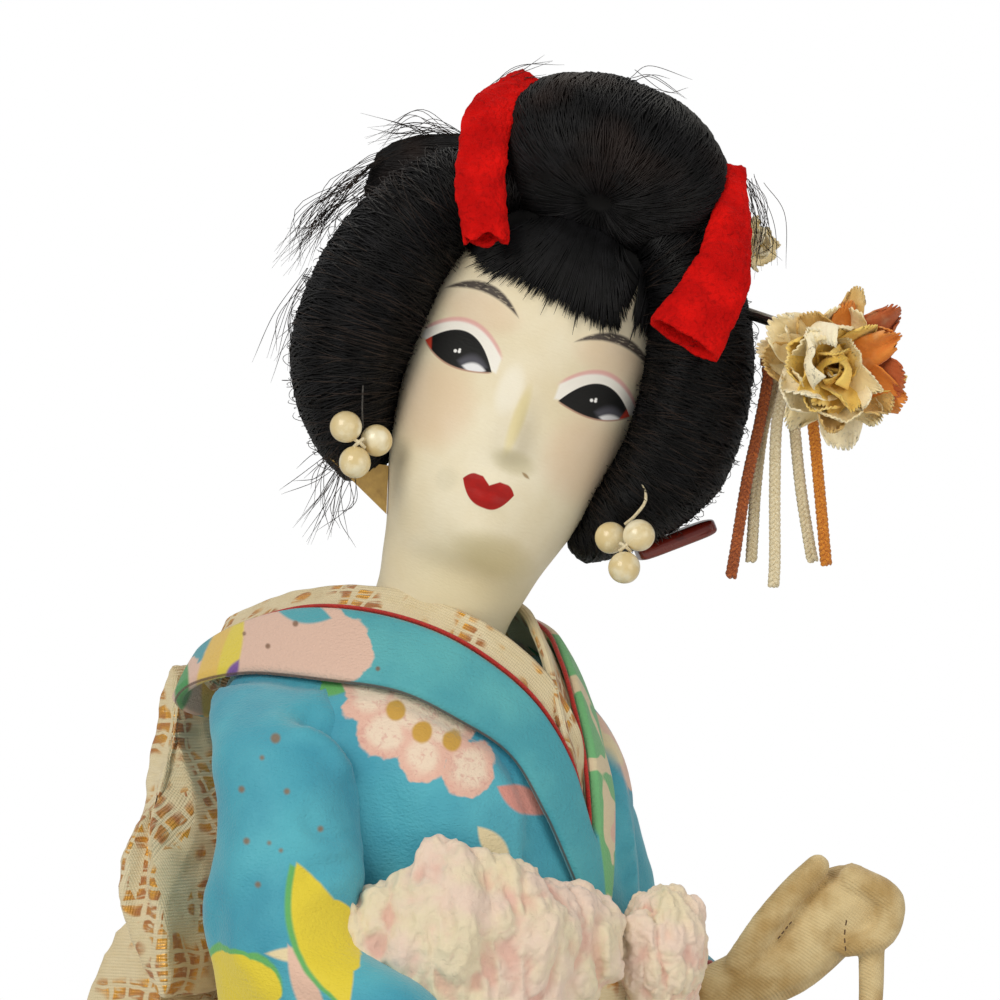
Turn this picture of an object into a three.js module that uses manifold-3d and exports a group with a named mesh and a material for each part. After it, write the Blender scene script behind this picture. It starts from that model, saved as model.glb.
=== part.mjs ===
// A standing geisha doll: a stuffed figure in a silk kimono on a lacquered board, with a silk-covered
// head that turns on a peg, a black wig, and hair ornaments that swing or pull out.
// Millimetres, +Z up. The origin is the middle of the board's underside. The face looks along -Y.
import * as THREE from "three";
import { mergeVertices } from "three/addons/utils/BufferGeometryUtils.js";
import Module from "manifold-3d";

const wasm = await Module();
wasm.setup();

// Clearances
const GAP = 0.3; // between two pieces that touch
const SWING = 0.4; // round a piece that turns

// Board and stand
const BOARD_WIDTH = 180;
const BOARD_DEPTH = 160;
const BOARD_HEIGHT = 24;
const BOARD_CORNER = 6;
const BOARD_STEP = 5;
const ROD_RADIUS = 3;
const ROD_IN_BOARD = 12;
const ROD_IN_BODY = 40;

// Figure, measured up from the board's top
const FIGURE_TURN = 55; // the body faces this far to the viewer's right
const FIGURE_BACK = 4;
const HIP_HEIGHT = 171;
const WAIST_HEIGHT = 227;
const CORE_TOP = 297;
const BODICE_TOP = 303;
const BODICE_WALL = 4.7;
const SKIRT_WALL = 3.2;
const UNDERSKIRT_WALL = 2.2;
const HEM_CLEARANCE = 1;
const HEM_LIFT = 10;
const UNDER_HEM = -3;
const PADDING_BOTTOM = 30;
const PLEATS = 9;
const PLEAT_DEPTH = 1.6;

// Feet
const STANCE = 13;
const SOLE_LENGTH = 50;
const SOLE_WIDTH = 19;
const SOLE_HEIGHT = 7;
const FOOT_HEIGHT = 13;
const LEG_RADIUS = 6.5;
const LEG_IN_PADDING = 40;

// Sash
const OBI_BOTTOM = WAIST_HEIGHT - 13;
const OBI_TOP = WAIST_HEIGHT + 33;
const OBI_WALL = 3.2;
const SCARF_HEIGHT = OBI_TOP - 1;
const SCARF_HALF_HEIGHT = 13;
const SCARF_BULGE = 7.5;
const KNOT_HEIGHT = WAIST_HEIGHT + 13;
const LOOP_WIDTH = 34;

// Collars
const COLLAR_THICKNESS = 1.8;
const INNER_COLLAR_THICKNESS = 1.6;
const INNER_COLLAR_SHOWS = 5.5;
const INNER_COLLAR_TUCK = 4;
const PIPING_RADIUS = 0.5;

// Arms
const SLEEVE_RADIUS = 11.5;
const SLEEVE_BOTTOM = 150;
const SLEEVE_HALF_DEPTH = 22;
const SLEEVE_FOLD = 2;
const WIRE_RADIUS = 1;
const CUFF_RADIUS = 6.4;
const CUFF_LENGTH = 3;
const WIRE_TAIL = 4.4; // past the cuff, inside the hand
const WRIST_RADIUS = 4.6;
const HAND_LENGTH = 27;
const HAND_ROOM = 3.8; // round the cuff, inside the sleeve

// Head and neck
const HEAD_TILT = 20;
const NECK_HEIGHT = 311.8;
const NECK_X = 0.45;
const NECK_Y = 2;
const NECK_RADIUS = 11;
const NECK_BELOW = 8;
const PEG_RADIUS = 4;
const PEG_LENGTH = 26;
const PEG_IN_HEAD = 14;

// Hair ornaments
const RIBBON_THICKNESS = 3.2;
const FLOWER_RADIUS = 12.5;
const BLOSSOM_RADIUS = 6;
const PIN_RADIUS = 0.9;
const PIN_LENGTH = 30;
const KNOT_ALONG_PIN = 8.5;
const KNOT_DROP = 4;
const KNOT_TALL = 2.4;
const KNOT_HALF_WIDTH = 4;
const KNOT_HALF_DEPTH = 2.6;
const STEM_RADIUS = 0.7;
const CORD_RADIUS = 1;
const CORD_SIDES = 8;
const BEAD_RADIUS = 2.5;
const THREAD_RADIUS = 0.25;

const RING = 22; // points round a body section
const point = (x, y, z) => new THREE.Vector3(x, y, z);
const radians = THREE.MathUtils.degToRad;

// Closed body through cross-sections of equal count. A closed sweep runs back into its first section,
// and an open one is capped at both ends.
function sweep(sections, closed = false) {
  const count = sections[0].length;
  const points = sections.flat();
  const triangles = [];
  const spans = closed ? sections.length : sections.length - 1;
  for (let i = 0; i < spans; i++) {
    const here = i * count;
    const next = ((i + 1) % sections.length) * count;
    for (let j = 0; j < count; j++) {
      const k = (j + 1) % count;
      triangles.push(here + j, here + k, next + k, here + j, next + k, next + j);
    }
  }
  if (!closed) {
    const last = (sections.length - 1) * count;
    for (const [start, turned] of [[0, true], [last, false]]) {
      const middle = points.length;
      points.push(centreOf(points.slice(start, start + count)));
      for (let j = 0; j < count; j++) {
        const edge = [start + j, start + ((j + 1) % count)];
        triangles.push(middle, ...(turned ? edge.reverse() : edge));
      }
    }
  }
  const geometry = new THREE.BufferGeometry().setFromPoints(points);
  geometry.setIndex(triangles);
  return solid(geometry);
}

function centreOf(points) {
  return points.reduce((sum, p) => sum.add(p), point(0, 0, 0)).divideScalar(points.length);
}

// A closed geometry as a solid that can be cut. Faces that point inwards are turned round.
function solid(geometry) {
  const plain = new THREE.BufferGeometry();
  plain.setAttribute("position", geometry.getAttribute("position"));
  plain.setIndex(geometry.index);
  const merged = mergeVertices(plain, 1e-4);
  const vertProperties = merged.attributes.position.array;
  const triVerts = new Uint32Array(merged.index.array);
  const made = new wasm.Manifold(new wasm.Mesh({ numProp: 3, vertProperties, triVerts }));
  if (made.volume() > 0) return made;
  return new wasm.Manifold(new wasm.Mesh({ numProp: 3, vertProperties, triVerts: triVerts.reverse() }));
}

function geometryOf(body) {
  const { numProp, numVert, vertProperties, triVerts } = body.getMesh();
  const positions = new Float32Array(numVert * 3);
  for (let i = 0; i < numVert; i++) {
    positions.set(vertProperties.subarray(i * numProp, i * numProp + 3), i * 3);
  }
  const geometry = new THREE.BufferGeometry();
  geometry.setAttribute("position", new THREE.BufferAttribute(positions, 3));
  geometry.setIndex(new THREE.BufferAttribute(triVerts, 1));
  geometry.computeVertexNormals();
  return geometry;
}

const cut = (body, ...tools) => tools.reduce((rest, tool) => rest.subtract(tool), body);
const join = (first, ...others) => others.reduce((sum, other) => sum.add(other), first);
const moved = (body, matrix) => body.transform(matrix.elements);
const largest = (body) => body.decompose().sort((a, b) => b.volume() - a.volume())[0];

// Smooth curve through rows of [station, ...sizes], read at one station.
function profile(rows, station) {
  const last = rows.length - 2;
  const found = rows.findIndex((row) => station <= row[0]);
  const i = THREE.MathUtils.clamp(found < 0 ? last : found - 1, 0, last);
  const [a, b] = [rows[i], rows[i + 1]];
  const before = rows[Math.max(i - 1, 0)];
  const after = rows[Math.min(i + 2, last + 1)];
  const span = b[0] - a[0];
  const t = THREE.MathUtils.clamp((station - a[0]) / span, 0, 1);
  return a.slice(1).map((value, n) => {
    const column = n + 1;
    const slopeA = ((b[column] - before[column]) / (b[0] - before[0])) * span;
    const slopeB = ((after[column] - a[column]) / (after[0] - a[0])) * span;
    const rise = b[column] - value;
    const bend = 3 * rise - 2 * slopeA - slopeB;
    return value + t * (slopeA + t * (bend + t * (slopeA + slopeB - 2 * rise)));
  });
}

// Round rod from one point to another.
function rod(from, to, radius, sides = 16) {
  const along = to.clone().sub(from);
  const geometry = new THREE.CylinderGeometry(radius, radius, along.length(), sides);
  geometry.applyQuaternion(
    new THREE.Quaternion().setFromUnitVectors(point(0, 1, 0), along.clone().normalize()),
  );
  const middle = from.clone().addScaledVector(along, 0.5);
  geometry.translate(middle.x, middle.y, middle.z);
  return solid(geometry);
}

// Round tube along a smooth curve through points.
function tube(points, radius, sides, steps) {
  const outline = new THREE.Shape();
  for (let i = 0; i < sides; i++) {
    const turn = (i / sides) * 2 * Math.PI;
    outline[i ? "lineTo" : "moveTo"](radius * Math.cos(turn), radius * Math.sin(turn));
  }
  const extrudePath = new THREE.CatmullRomCurve3(points);
  return solid(new THREE.ExtrudeGeometry(outline, { steps, extrudePath, bevelEnabled: false }));
}

// Ball stretched to three half-sizes.
function egg(centre, halves, sides = 20, bands = 12) {
  const geometry = new THREE.SphereGeometry(1, sides, bands);
  geometry.rotateX(Math.PI / 2);
  geometry.scale(halves.x, halves.y, halves.z);
  geometry.translate(centre.x, centre.y, centre.z);
  return solid(geometry);
}

const grown = (halves, grow) => halves.clone().addScalar(grow);

// Flat plate: an outline in X and Z, extruded along Y.
function plate(outline, fromY, toY) {
  const shape = new THREE.Shape(outline.map(([x, z]) => new THREE.Vector2(x, z)));
  const geometry = new THREE.ExtrudeGeometry(shape, { depth: toY - fromY, bevelEnabled: false });
  geometry.rotateX(Math.PI / 2);
  geometry.translate(0, toY, 0);
  return solid(geometry);
}

// Oval tube through stations of [x, y, z, half-size in the X-Z plane, half-size along Y].
function roll(stations, grow, sides = 18) {
  const centres = stations.map(([x, y, z]) => point(x, y, z));
  const sections = stations.map(([, , , inPlane, deep], i) => {
    const before = centres[Math.max(i - 1, 0)];
    const after = centres[Math.min(i + 1, centres.length - 1)];
    const along = after.clone().sub(before).normalize();
    const across = point(0, 1, 0).cross(along).normalize();
    return Array.from({ length: sides }, (_, j) => {
      const turn = (j / sides) * 2 * Math.PI;
      return centres[i]
        .clone()
        .addScaledVector(across, (inPlane + grow) * Math.cos(turn))
        .addScaledVector(point(0, 1, 0), (deep + grow) * Math.sin(turn));
    });
  });
  return sweep(sections);
}

// Groups: the whole doll stands on the board, the figure is turned in it and the head leans on its neck.
const root = new THREE.Group();
const doll = new THREE.Group();
doll.position.z = BOARD_HEIGHT;
const figure = new THREE.Group();
figure.position.y = FIGURE_BACK;
figure.rotation.z = radians(FIGURE_TURN);
const head = new THREE.Group();
head.position.set(NECK_X, NECK_Y, NECK_HEIGHT);
head.rotation.y = radians(HEAD_TILT);
root.add(doll);
doll.add(figure, head);
root.updateMatrixWorld(true);
const headToFigure = figure.matrixWorld.clone().invert().multiply(head.matrixWorld);
const headToDoll = doll.matrixWorld.clone().invert().multiply(head.matrixWorld);
const dollToFigure = figure.matrix.clone().invert();

const finishes = {
  lacquer: { color: 0x15110f, roughness: 0.25, metalness: 0 },
  steel: { color: 0x8a8a88, roughness: 0.4, metalness: 0.9 },
  straw: { color: 0xb99a62, roughness: 0.9, metalness: 0 },
  whiteCotton: { color: 0xe6e1d4, roughness: 0.9, metalness: 0 },
  redSilk: { color: 0xa5190a, roughness: 0.8, metalness: 0 },
  kimono: { color: 0x3ca5b9, roughness: 0.8, metalness: 0 },
  brocade: { color: 0xd7c8a0, roughness: 0.6, metalness: 0.1 },
  crepe: { color: 0xeed7c8, roughness: 0.9, metalness: 0 },
  silkSkin: { color: 0xebe1c8, roughness: 0.75, metalness: 0 },
  glove: { color: 0xaf915a, roughness: 0.85, metalness: 0 },
  wood: { color: 0xb08a5a, roughness: 0.7, metalness: 0 },
  hair: { color: 0x0c0c0e, roughness: 0.4, metalness: 0 },
  ribbon: { color: 0xd70a05, roughness: 0.9, metalness: 0 },
  card: { color: 0xc8a050, roughness: 0.5, metalness: 0.3 },
  comb: { color: 0x782314, roughness: 0.3, metalness: 0 },
  petal: { color: 0xdec896, roughness: 0.9, metalness: 0 },
  rustCord: { color: 0xa55019, roughness: 0.85, metalness: 0 },
  creamCord: { color: 0xd9c799, roughness: 0.85, metalness: 0 },
  goldCord: { color: 0xd98014, roughness: 0.85, metalness: 0 },
  pearl: { color: 0xeee4c3, roughness: 0.3, metalness: 0 },
};

function add(group, name, body, finish) {
  const mesh = new THREE.Mesh(geometryOf(body), new THREE.MeshStandardMaterial(finishes[finish]));
  mesh.name = name;
  group.add(mesh);
}

// Figure: half-width, front depth and back depth of the dressed body at each height.
const FIGURE_ROWS = [
  [0, 60, 54, 62],
  [36, 44, 40, 44],
  [76, 38, 35, 37],
  [126, 37, 33, 36],
  [HIP_HEIGHT, 38, 34, 37],
  [211, 34, 30, 32],
  [241, 33, 29, 30],
  [271, 35, 29.5, 31],
  [286, 36, 26, 34],
  [296, 31, 19, 37],
  [BODICE_TOP, 22, 11, 36],
];

// Section of the figure, offset outwards by `grow`. Pleats ripple it, and the front may be lifted.
function figureSection(height, grow, pleat = 0, lift = 0) {
  return Array.from({ length: RING }, (_, j) => {
    const turn = (j / RING) * 2 * Math.PI;
    const z = height + lift * Math.max(0, -Math.sin(turn)) ** 4;
    const [half, front, back] = profile(FIGURE_ROWS, z);
    const ripple = grow + pleat * Math.cos(PLEATS * turn);
    const depth = Math.sin(turn) < 0 ? front : back;
    return point((half + ripple) * Math.cos(turn), (depth + ripple) * Math.sin(turn), z);
  });
}

function figureForm(heights, grow) {
  return sweep(heights.map((height) => figureSection(height, grow)));
}

const heightsBetween = (from, to, steps) =>
  Array.from({ length: steps + 1 }, (_, i) => from + ((to - from) * i) / steps);

// Lacquered board with a stepped rim
function boardLayer(inset, bottom, top) {
  const [x, y] = [BOARD_WIDTH / 2 - inset, BOARD_DEPTH / 2 - inset];
  const r = BOARD_CORNER;
  const outline = new THREE.Shape();
  outline.moveTo(-x + r, -y);
  outline.lineTo(x - r, -y);
  outline.absarc(x - r, -y + r, r, -Math.PI / 2, 0);
  outline.lineTo(x, y - r);
  outline.absarc(x - r, y - r, r, 0, Math.PI / 2);
  outline.lineTo(-x + r, y);
  outline.absarc(-x + r, y - r, r, Math.PI / 2, Math.PI);
  outline.lineTo(-x, -y + r);
  outline.absarc(-x + r, -y + r, r, Math.PI, 1.5 * Math.PI);
  const extrude = { depth: top - bottom, bevelEnabled: false, curveSegments: 4 };
  return solid(new THREE.ExtrudeGeometry(outline, extrude).translate(0, 0, bottom));
}

const rodBetween = (from, to, radius) =>
  moved(rod(point(0, 0, from), point(0, 0, to), radius), figure.matrix);
const rodTop = HIP_HEIGHT + ROD_IN_BODY;
const rodHole = rodBetween(-ROD_IN_BOARD - GAP, rodTop + GAP, ROD_RADIUS + GAP);
const rimHeight = BOARD_HEIGHT - BOARD_STEP;
const board = join(boardLayer(0, 0, rimHeight), boardLayer(BOARD_STEP, 0, BOARD_HEIGHT));
const lifted = new THREE.Matrix4().makeTranslation(0, 0, BOARD_HEIGHT);
add(root, "base_board", cut(board, moved(rodHole, lifted)), "lacquer");
add(doll, "support_rod", rodBetween(-ROD_IN_BOARD, rodTop, ROD_RADIUS), "steel");
const rodHoleInFigure = moved(rodHole, dollToFigure);

// Sandals, socks and legs
function soleOutline() {
  const half = SOLE_WIDTH / 2;
  const straight = SOLE_LENGTH / 2 - half;
  const outline = new THREE.Shape();
  outline.absarc(0, straight, half, 0, Math.PI);
  outline.absarc(0, -straight, half, Math.PI, 2 * Math.PI);
  return outline;
}

function foot() {
  const rows = [
    [-SOLE_LENGTH / 2 + 1, 3, 3],
    [-SOLE_LENGTH / 2 + 5, 7.5, 7],
    [-6, 7.5, 10],
    [8, 6.5, FOOT_HEIGHT],
    [SOLE_LENGTH / 2 - 3, 5, FOOT_HEIGHT],
  ];
  const sections = rows.map(([y, half, height]) =>
    Array.from({ length: 12 }, (_, j) => {
      const turn = (j / 12) * 2 * Math.PI;
      const up = Math.max(Math.sin(turn), -0.2);
      return point(half * Math.cos(turn), y, (height * (up + 0.2)) / 1.2);
    }),
  );
  return sweep(sections);
}

const footSeat = SOLE_HEIGHT + GAP;
const legBottom = footSeat + FOOT_HEIGHT + GAP;
const legTop = PADDING_BOTTOM + LEG_IN_PADDING;
const legHoles = [];
for (const [side, sign] of [["right", -1], ["left", 1]]) {
  const place = new THREE.Matrix4().makeTranslation(sign * STANCE, -4, 0);
  const soleShape = { depth: SOLE_HEIGHT - GAP, bevelEnabled: false, curveSegments: 8 };
  const sole = solid(new THREE.ExtrudeGeometry(soleOutline(), soleShape).translate(0, 0, GAP));
  add(figure, `${side}_zori`, moved(sole, place), "lacquer");
  const onSole = place.clone().multiply(new THREE.Matrix4().makeTranslation(0, 0, footSeat));
  add(figure, `${side}_tabi`, moved(foot(), onSole), "whiteCotton");
  const ankle = point(sign * STANCE, 6, legBottom);
  const knee = point(sign * STANCE, 6, legTop);
  add(figure, `${side}_leg`, rod(ankle, knee, LEG_RADIUS), "straw");
  legHoles.push(rod(ankle, knee.clone().setZ(legTop + GAP), LEG_RADIUS + GAP));
}

// Stuffed core, stuffed skirt former and the two skirts
const underskirtInset = SKIRT_WALL + GAP;
const paddingInset = underskirtInset + UNDERSKIRT_WALL + GAP;
const coreInset = BODICE_WALL + GAP;
const coreHeights = [...heightsBetween(HIP_HEIGHT, 271, 5), 286, CORE_TOP];
const paddingHeights = heightsBetween(PADDING_BOTTOM, HIP_HEIGHT - GAP, 6);
const padding = figureForm(paddingHeights, -paddingInset);
add(figure, "skirt_padding", cut(padding, rodHoleInFigure, ...legHoles), "straw");
const paddingSpaceHeights = [UNDER_HEM, 0, 14, ...paddingHeights, HIP_HEIGHT];
const paddingSpace = figureForm(paddingSpaceHeights, -paddingInset + GAP);

const SKIRT_HEIGHTS = [14, 32, 54, 84, 126, HIP_HEIGHT, 200];
// Skirt from its lifted hem up to `top`. An open one runs on straight down, below the hem.
function skirtForm(grow, pleat, top, open) {
  const heights = [HEM_CLEARANCE, ...SKIRT_HEIGHTS.filter((height) => height < top), top];
  const fade = (height) => pleat * (1 - 0.8 * Math.min(1, height / HIP_HEIGHT));
  const sections = heights.map((height, i) =>
    figureSection(height, grow, fade(height), i === 0 ? HEM_LIFT : 0),
  );
  const straightDown = sections[0].map((p) => p.clone().setZ(UNDER_HEM));
  return sweep(open ? [straightDown, ...sections] : sections);
}
const underskirt = skirtForm(-underskirtInset, 0, HIP_HEIGHT - GAP, false);
add(figure, "under_skirt", cut(underskirt, paddingSpace), "redSilk");
const coreSpace = figureForm([HIP_HEIGHT - GAP, ...coreHeights.slice(1)], -coreInset + GAP);
const underskirtSpace = skirtForm(-underskirtInset + GAP, 0, HIP_HEIGHT, true);
const kimonoSkirt = skirtForm(0, PLEAT_DEPTH, WAIST_HEIGHT, false);
add(figure, "kimono_skirt", cut(kimonoSkirt, underskirtSpace, coreSpace), "kimono");

// Neck: the silk neck stands in a round pocket of the core, and its peg turns in a bore below it.
const axisPoint = (height) => point(0, 0, height);
const neckPocket = rod(axisPoint(-NECK_BELOW - GAP), axisPoint(6), NECK_RADIUS + SWING, 32);
const pegBore = rod(
  axisPoint(-NECK_BELOW - PEG_LENGTH - GAP),
  axisPoint(0),
  PEG_RADIUS + GAP,
  24,
);
const neckSpace = moved(join(neckPocket, pegBore), headToFigure);
const core = figureForm(coreHeights, -coreInset);
const shoulder = (sign) => point(sign * 35.5, 3, 284);
const elbows = { right: point(-42, 4, 238), left: point(43, 6, 236) };
const wrists = { right: point(-37, -24, 216), left: point(34.5, -26.5, 247.5) };
const wireRoute = (side, sign) => {
  const inside = point(sign * 18, 2, 282);
  const reach = wrists[side].clone().sub(elbows[side]).normalize();
  const end = wrists[side].clone().addScaledVector(reach, CUFF_LENGTH + WIRE_TAIL);
  return [inside, shoulder(sign), elbows[side], end];
};

const wire = (route, radius) => tube(route, radius, 6, 16);
const wireHoles = [];
for (const [side, sign] of [["right", -1], ["left", 1]]) {
  add(figure, `${side}_arm_wire`, wire(wireRoute(side, sign), WIRE_RADIUS), "steel");
  wireHoles.push(wire(wireRoute(side, sign), WIRE_RADIUS + GAP));
}
add(figure, "body_core", cut(core, rodHoleInFigure, neckSpace, ...wireHoles), "straw");

// Collar stations down the right side, from the point of the V at the front, round the neck to the nape:
// the kimono collar's upper edge and its lower edge.
const COLLAR_STATIONS = [
  [point(0, -29, 276), point(0, -30.5, 262)],
  [point(-2.5, -26.8, 287), point(-9, -26.5, 279)],
  [point(-5.5, -22.5, 296), point(-12.5, -22, 288.5)],
  [point(-10, -17, 302.5), point(-18, -16, 295)],
  [point(-15, -10, 307.5), point(-23, -9, 300)],
  [point(-17.5, 1, 310.5), point(-26, 2, 302)],
  [point(-18, 14, 311), point(-25.5, 17, 303)],
  [point(-17.5, 27, 308), point(-22.5, 31, 300)],
  [point(-13, 38, 303.5), point(-15.5, 41, 295)],
  [point(0, 42, 301), point(0, 44.5, 292.5)],
];
const COLLAR_STEPS = 36;

const mirrored = (p) => point(-p.x, p.y, p.z);
const ringOf = (edge) => {
  const right = COLLAR_STATIONS.map((station) => station[edge]);
  const left = right.slice(1, -1).reverse().map(mirrored);
  return new THREE.CatmullRomCurve3([...right, ...left], true);
};
const upperEdge = ringOf(0);
const lowerEdge = ringOf(1);

// Frame of the collar at a share of its ring: the upper edge, the way down the band and the way out.
function collarFrame(share) {
  const upper = upperEdge.getPoint(share);
  const lower = lowerEdge.getPoint(share);
  const down = lower.clone().sub(upper);
  const along = upperEdge.getPoint((share + 0.005) % 1).sub(upperEdge.getPoint((share + 0.995) % 1));
  const out = along.clone().cross(down).normalize();
  return { upper, width: down.length(), down: down.normalize(), out };
}

// Band round the neck. `reach` gives where it starts and ends down the collar, and its two faces.
function collarBand(reach) {
  const sections = Array.from({ length: COLLAR_STEPS }, (_, i) => {
    const frame = collarFrame(i / COLLAR_STEPS);
    const [start, end, inner, outer] = reach(frame.width);
    const corners = [[start, inner], [start, outer], [end, outer], [end, inner]];
    return corners.map(([down, out]) =>
      frame.upper.clone().addScaledVector(frame.down, down).addScaledVector(frame.out, out),
    );
  });
  return sweep(sections, true);
}

const collarHalf = COLLAR_THICKNESS / 2;
const innerOuter = -collarHalf - SWING;
const innerInner = innerOuter - INNER_COLLAR_THICKNESS;
const kimonoCollar = (grow) =>
  collarBand((width) => [-grow, width + grow, -collarHalf - grow, collarHalf + grow]);
const innerCollar = (grow) =>
  collarBand(() => [
    -INNER_COLLAR_SHOWS - grow,
    INNER_COLLAR_TUCK + grow,
    innerInner - grow,
    innerOuter + grow,
  ]);
const pipingDown = -PIPING_RADIUS - GAP;
const pipingOut = innerOuter + GAP + PIPING_RADIUS;
const pipingRing = Array.from({ length: COLLAR_STEPS }, (_, i) => {
  const frame = collarFrame(i / COLLAR_STEPS);
  return Array.from({ length: 5 }, (_unused, j) => {
    const turn = (j / 5) * 2 * Math.PI;
    return frame.upper
      .clone()
      .addScaledVector(frame.down, pipingDown + PIPING_RADIUS * Math.cos(turn))
      .addScaledVector(frame.out, pipingOut + PIPING_RADIUS * Math.sin(turn));
  });
});
add(figure, "kimono_collar", cut(kimonoCollar(0), neckSpace), "kimono");
add(figure, "inner_collar", cut(innerCollar(0), neckSpace), "brocade");
add(figure, "collar_piping", sweep(pipingRing, true), "redSilk");

// Bodice: a padded shell over the core, with the collars bedded in it and the neck passing through.
const bodiceBottom = WAIST_HEIGHT + GAP;
const bodiceHeights = [bodiceBottom, 249, 271, 280, 286, 291, 296, BODICE_TOP];
const bodice = figureForm(bodiceHeights, 0);
const bodiceSpace = figureForm([bodiceBottom - GAP, ...bodiceHeights.slice(1)], GAP);
const coreSpaceHeights = [HIP_HEIGHT, ...coreHeights.slice(1, -1), CORE_TOP + GAP];
const coreSpaceTop = figureForm(coreSpaceHeights, -coreInset + GAP);
// The inner collar's space takes in the piping that is sewn to its outer face.
const innerCollarSpace = collarBand(() => [
  -INNER_COLLAR_SHOWS - GAP,
  INNER_COLLAR_TUCK + GAP,
  innerInner - GAP,
  pipingOut + PIPING_RADIUS + GAP,
]);
const collarSpaces = [kimonoCollar(GAP), innerCollarSpace];
const openBodice = cut(bodice, coreSpaceTop, neckSpace, ...wireHoles, ...collarSpaces);
add(figure, "kimono_bodice", largest(openBodice), "kimono");

// Sash: a stiff brocade band, its knot and two loops at the back
const obiHeights = heightsBetween(OBI_BOTTOM, OBI_TOP, 3);
const obiForm = (grow) => {
  const heights = [OBI_BOTTOM - grow, ...obiHeights.slice(1, -1), OBI_TOP + grow];
  return figureForm(heights, OBI_WALL + GAP + grow);
};
const skirtSpace = skirtForm(GAP, PLEAT_DEPTH, WAIST_HEIGHT + 1, true);
const obiNeighbours = [bodiceSpace, skirtSpace, kimonoCollar(GAP), ...wireHoles];
add(figure, "obi_band", largest(cut(obiForm(0), ...obiNeighbours)), "brocade");

// Loop of folded brocade: an outline of [y, z] points rounded into a closed curve, as wide as the loop.
function foldedLoop(outline, offset, width) {
  const corners = [...outline, outline[0]].map(([y, z]) => new THREE.Vector2(y, z));
  const curve = new THREE.SplineCurve(corners);
  const shape = new THREE.Shape(curve.getPoints(26).slice(0, -1));
  const geometry = new THREE.ExtrudeGeometry(shape, { depth: width, bevelEnabled: false });
  geometry.rotateY(Math.PI / 2);
  geometry.rotateX(Math.PI / 2);
  geometry.translate(offset - width / 2, 0, 0);
  return solid(geometry);
}

const obiSpace = obiForm(GAP);
const knotForm = (grow) => egg(point(0, 42, KNOT_HEIGHT), grown(point(14, 9, 13), grow), 16, 10);
add(figure, "obi_knot", cut(knotForm(0), obiSpace, bodiceSpace), "brocade");
const UPPER_LOOP = [[36, 250], [42, 258], [47, 275], [46, 293], [42, 300], [38, 290], [37, 270]];
const LOWER_LOOP = [[40, 255], [46, 261], [52, 256], [56, 243], [57, 215], [52, 180], [46, 178], [44, 215]];
const UPPER_LOOP_OFFSET = -10;
const LOWER_LOOP_OFFSET = -4;
const upperLoop = foldedLoop(UPPER_LOOP, UPPER_LOOP_OFFSET, LOOP_WIDTH);
const lowerLoop = (width) => foldedLoop(LOWER_LOOP, LOWER_LOOP_OFFSET, width);
const loopSpaces = [obiSpace, bodiceSpace, knotForm(GAP), ...collarSpaces];
const lowerLoopBody = cut(lowerLoop(LOOP_WIDTH), ...loopSpaces, skirtSpace);
add(figure, "obi_lower_loop", largest(lowerLoopBody), "brocade");
const lowerLoopSpace = lowerLoop(LOOP_WIDTH + 2 * GAP);
const upperLoopBody = cut(upperLoop, ...loopSpaces, lowerLoopSpace);
add(figure, "obi_upper_loop", largest(upperLoopBody), "brocade");

// Sleeves: a rounded shoulder that widens into a long bag, hanging in soft folds under the forearm.
// Each row is a height, the distance out from the figure's axis, the distance forward, the half-thickness
// and the half-depth.
const SLEEVE_ROWS = [
  [298, 30, -3, 5, 5],
  [293, 34.5, -3, 10, 10],
  [278, 38, -3, SLEEVE_RADIUS, 12],
  [261, 40, 0, SLEEVE_RADIUS, 14],
  [250, 40, 8, 9.5, 20],
  [225, 39.5, 9, 8, SLEEVE_HALF_DEPTH],
  [185, 39, 9, 7, SLEEVE_HALF_DEPTH],
  [SLEEVE_BOTTOM, 39, 9, 6.5, SLEEVE_HALF_DEPTH + 2],
];
const SLEEVE_SIDES = 20;

function sleeve(sign, grow) {
  const sections = SLEEVE_ROWS.map(([height, out, forward, thick, deep], i) =>
    Array.from({ length: SLEEVE_SIDES }, (_, j) => {
      const turn = (j / SLEEVE_SIDES) * 2 * Math.PI;
      const hang = (i / SLEEVE_ROWS.length) ** 2;
      const fold = SLEEVE_FOLD * hang * Math.sin(3 * Math.PI * Math.cos(turn));
      const x = sign * (out + fold + (thick + grow) * Math.sin(turn));
      return point(x, -forward + (deep + grow) * Math.cos(turn), height);
    }),
  );
  return sweep(sections);
}

const sleeveSpaces = [sleeve(-1, GAP), sleeve(1, GAP)];
const sleeveNeighbours = [bodiceSpace, obiSpace, skirtSpace, ...collarSpaces];
const cuffs = {};
for (const [side, sign] of [["right", -1], ["left", 1]]) {
  const reach = wrists[side].clone().sub(elbows[side]).normalize();
  const start = wrists[side].clone();
  const end = start.clone().addScaledVector(reach, CUFF_LENGTH);
  cuffs[side] = rod(start, end, CUFF_RADIUS, 20);
  const before = start.clone().addScaledVector(reach, -GAP);
  const beyond = start.clone().addScaledVector(reach, 60);
  const handSpace = rod(before, beyond, CUFF_RADIUS + HAND_ROOM, 20);
  const body = cut(sleeve(sign, 0), ...sleeveNeighbours, ...wireHoles, handSpace);
  add(figure, `${side}_sleeve`, largest(body), "kimono");
  add(figure, `${side}_cuff`, cut(cuffs[side], ...wireHoles), "redSilk");
}

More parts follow.
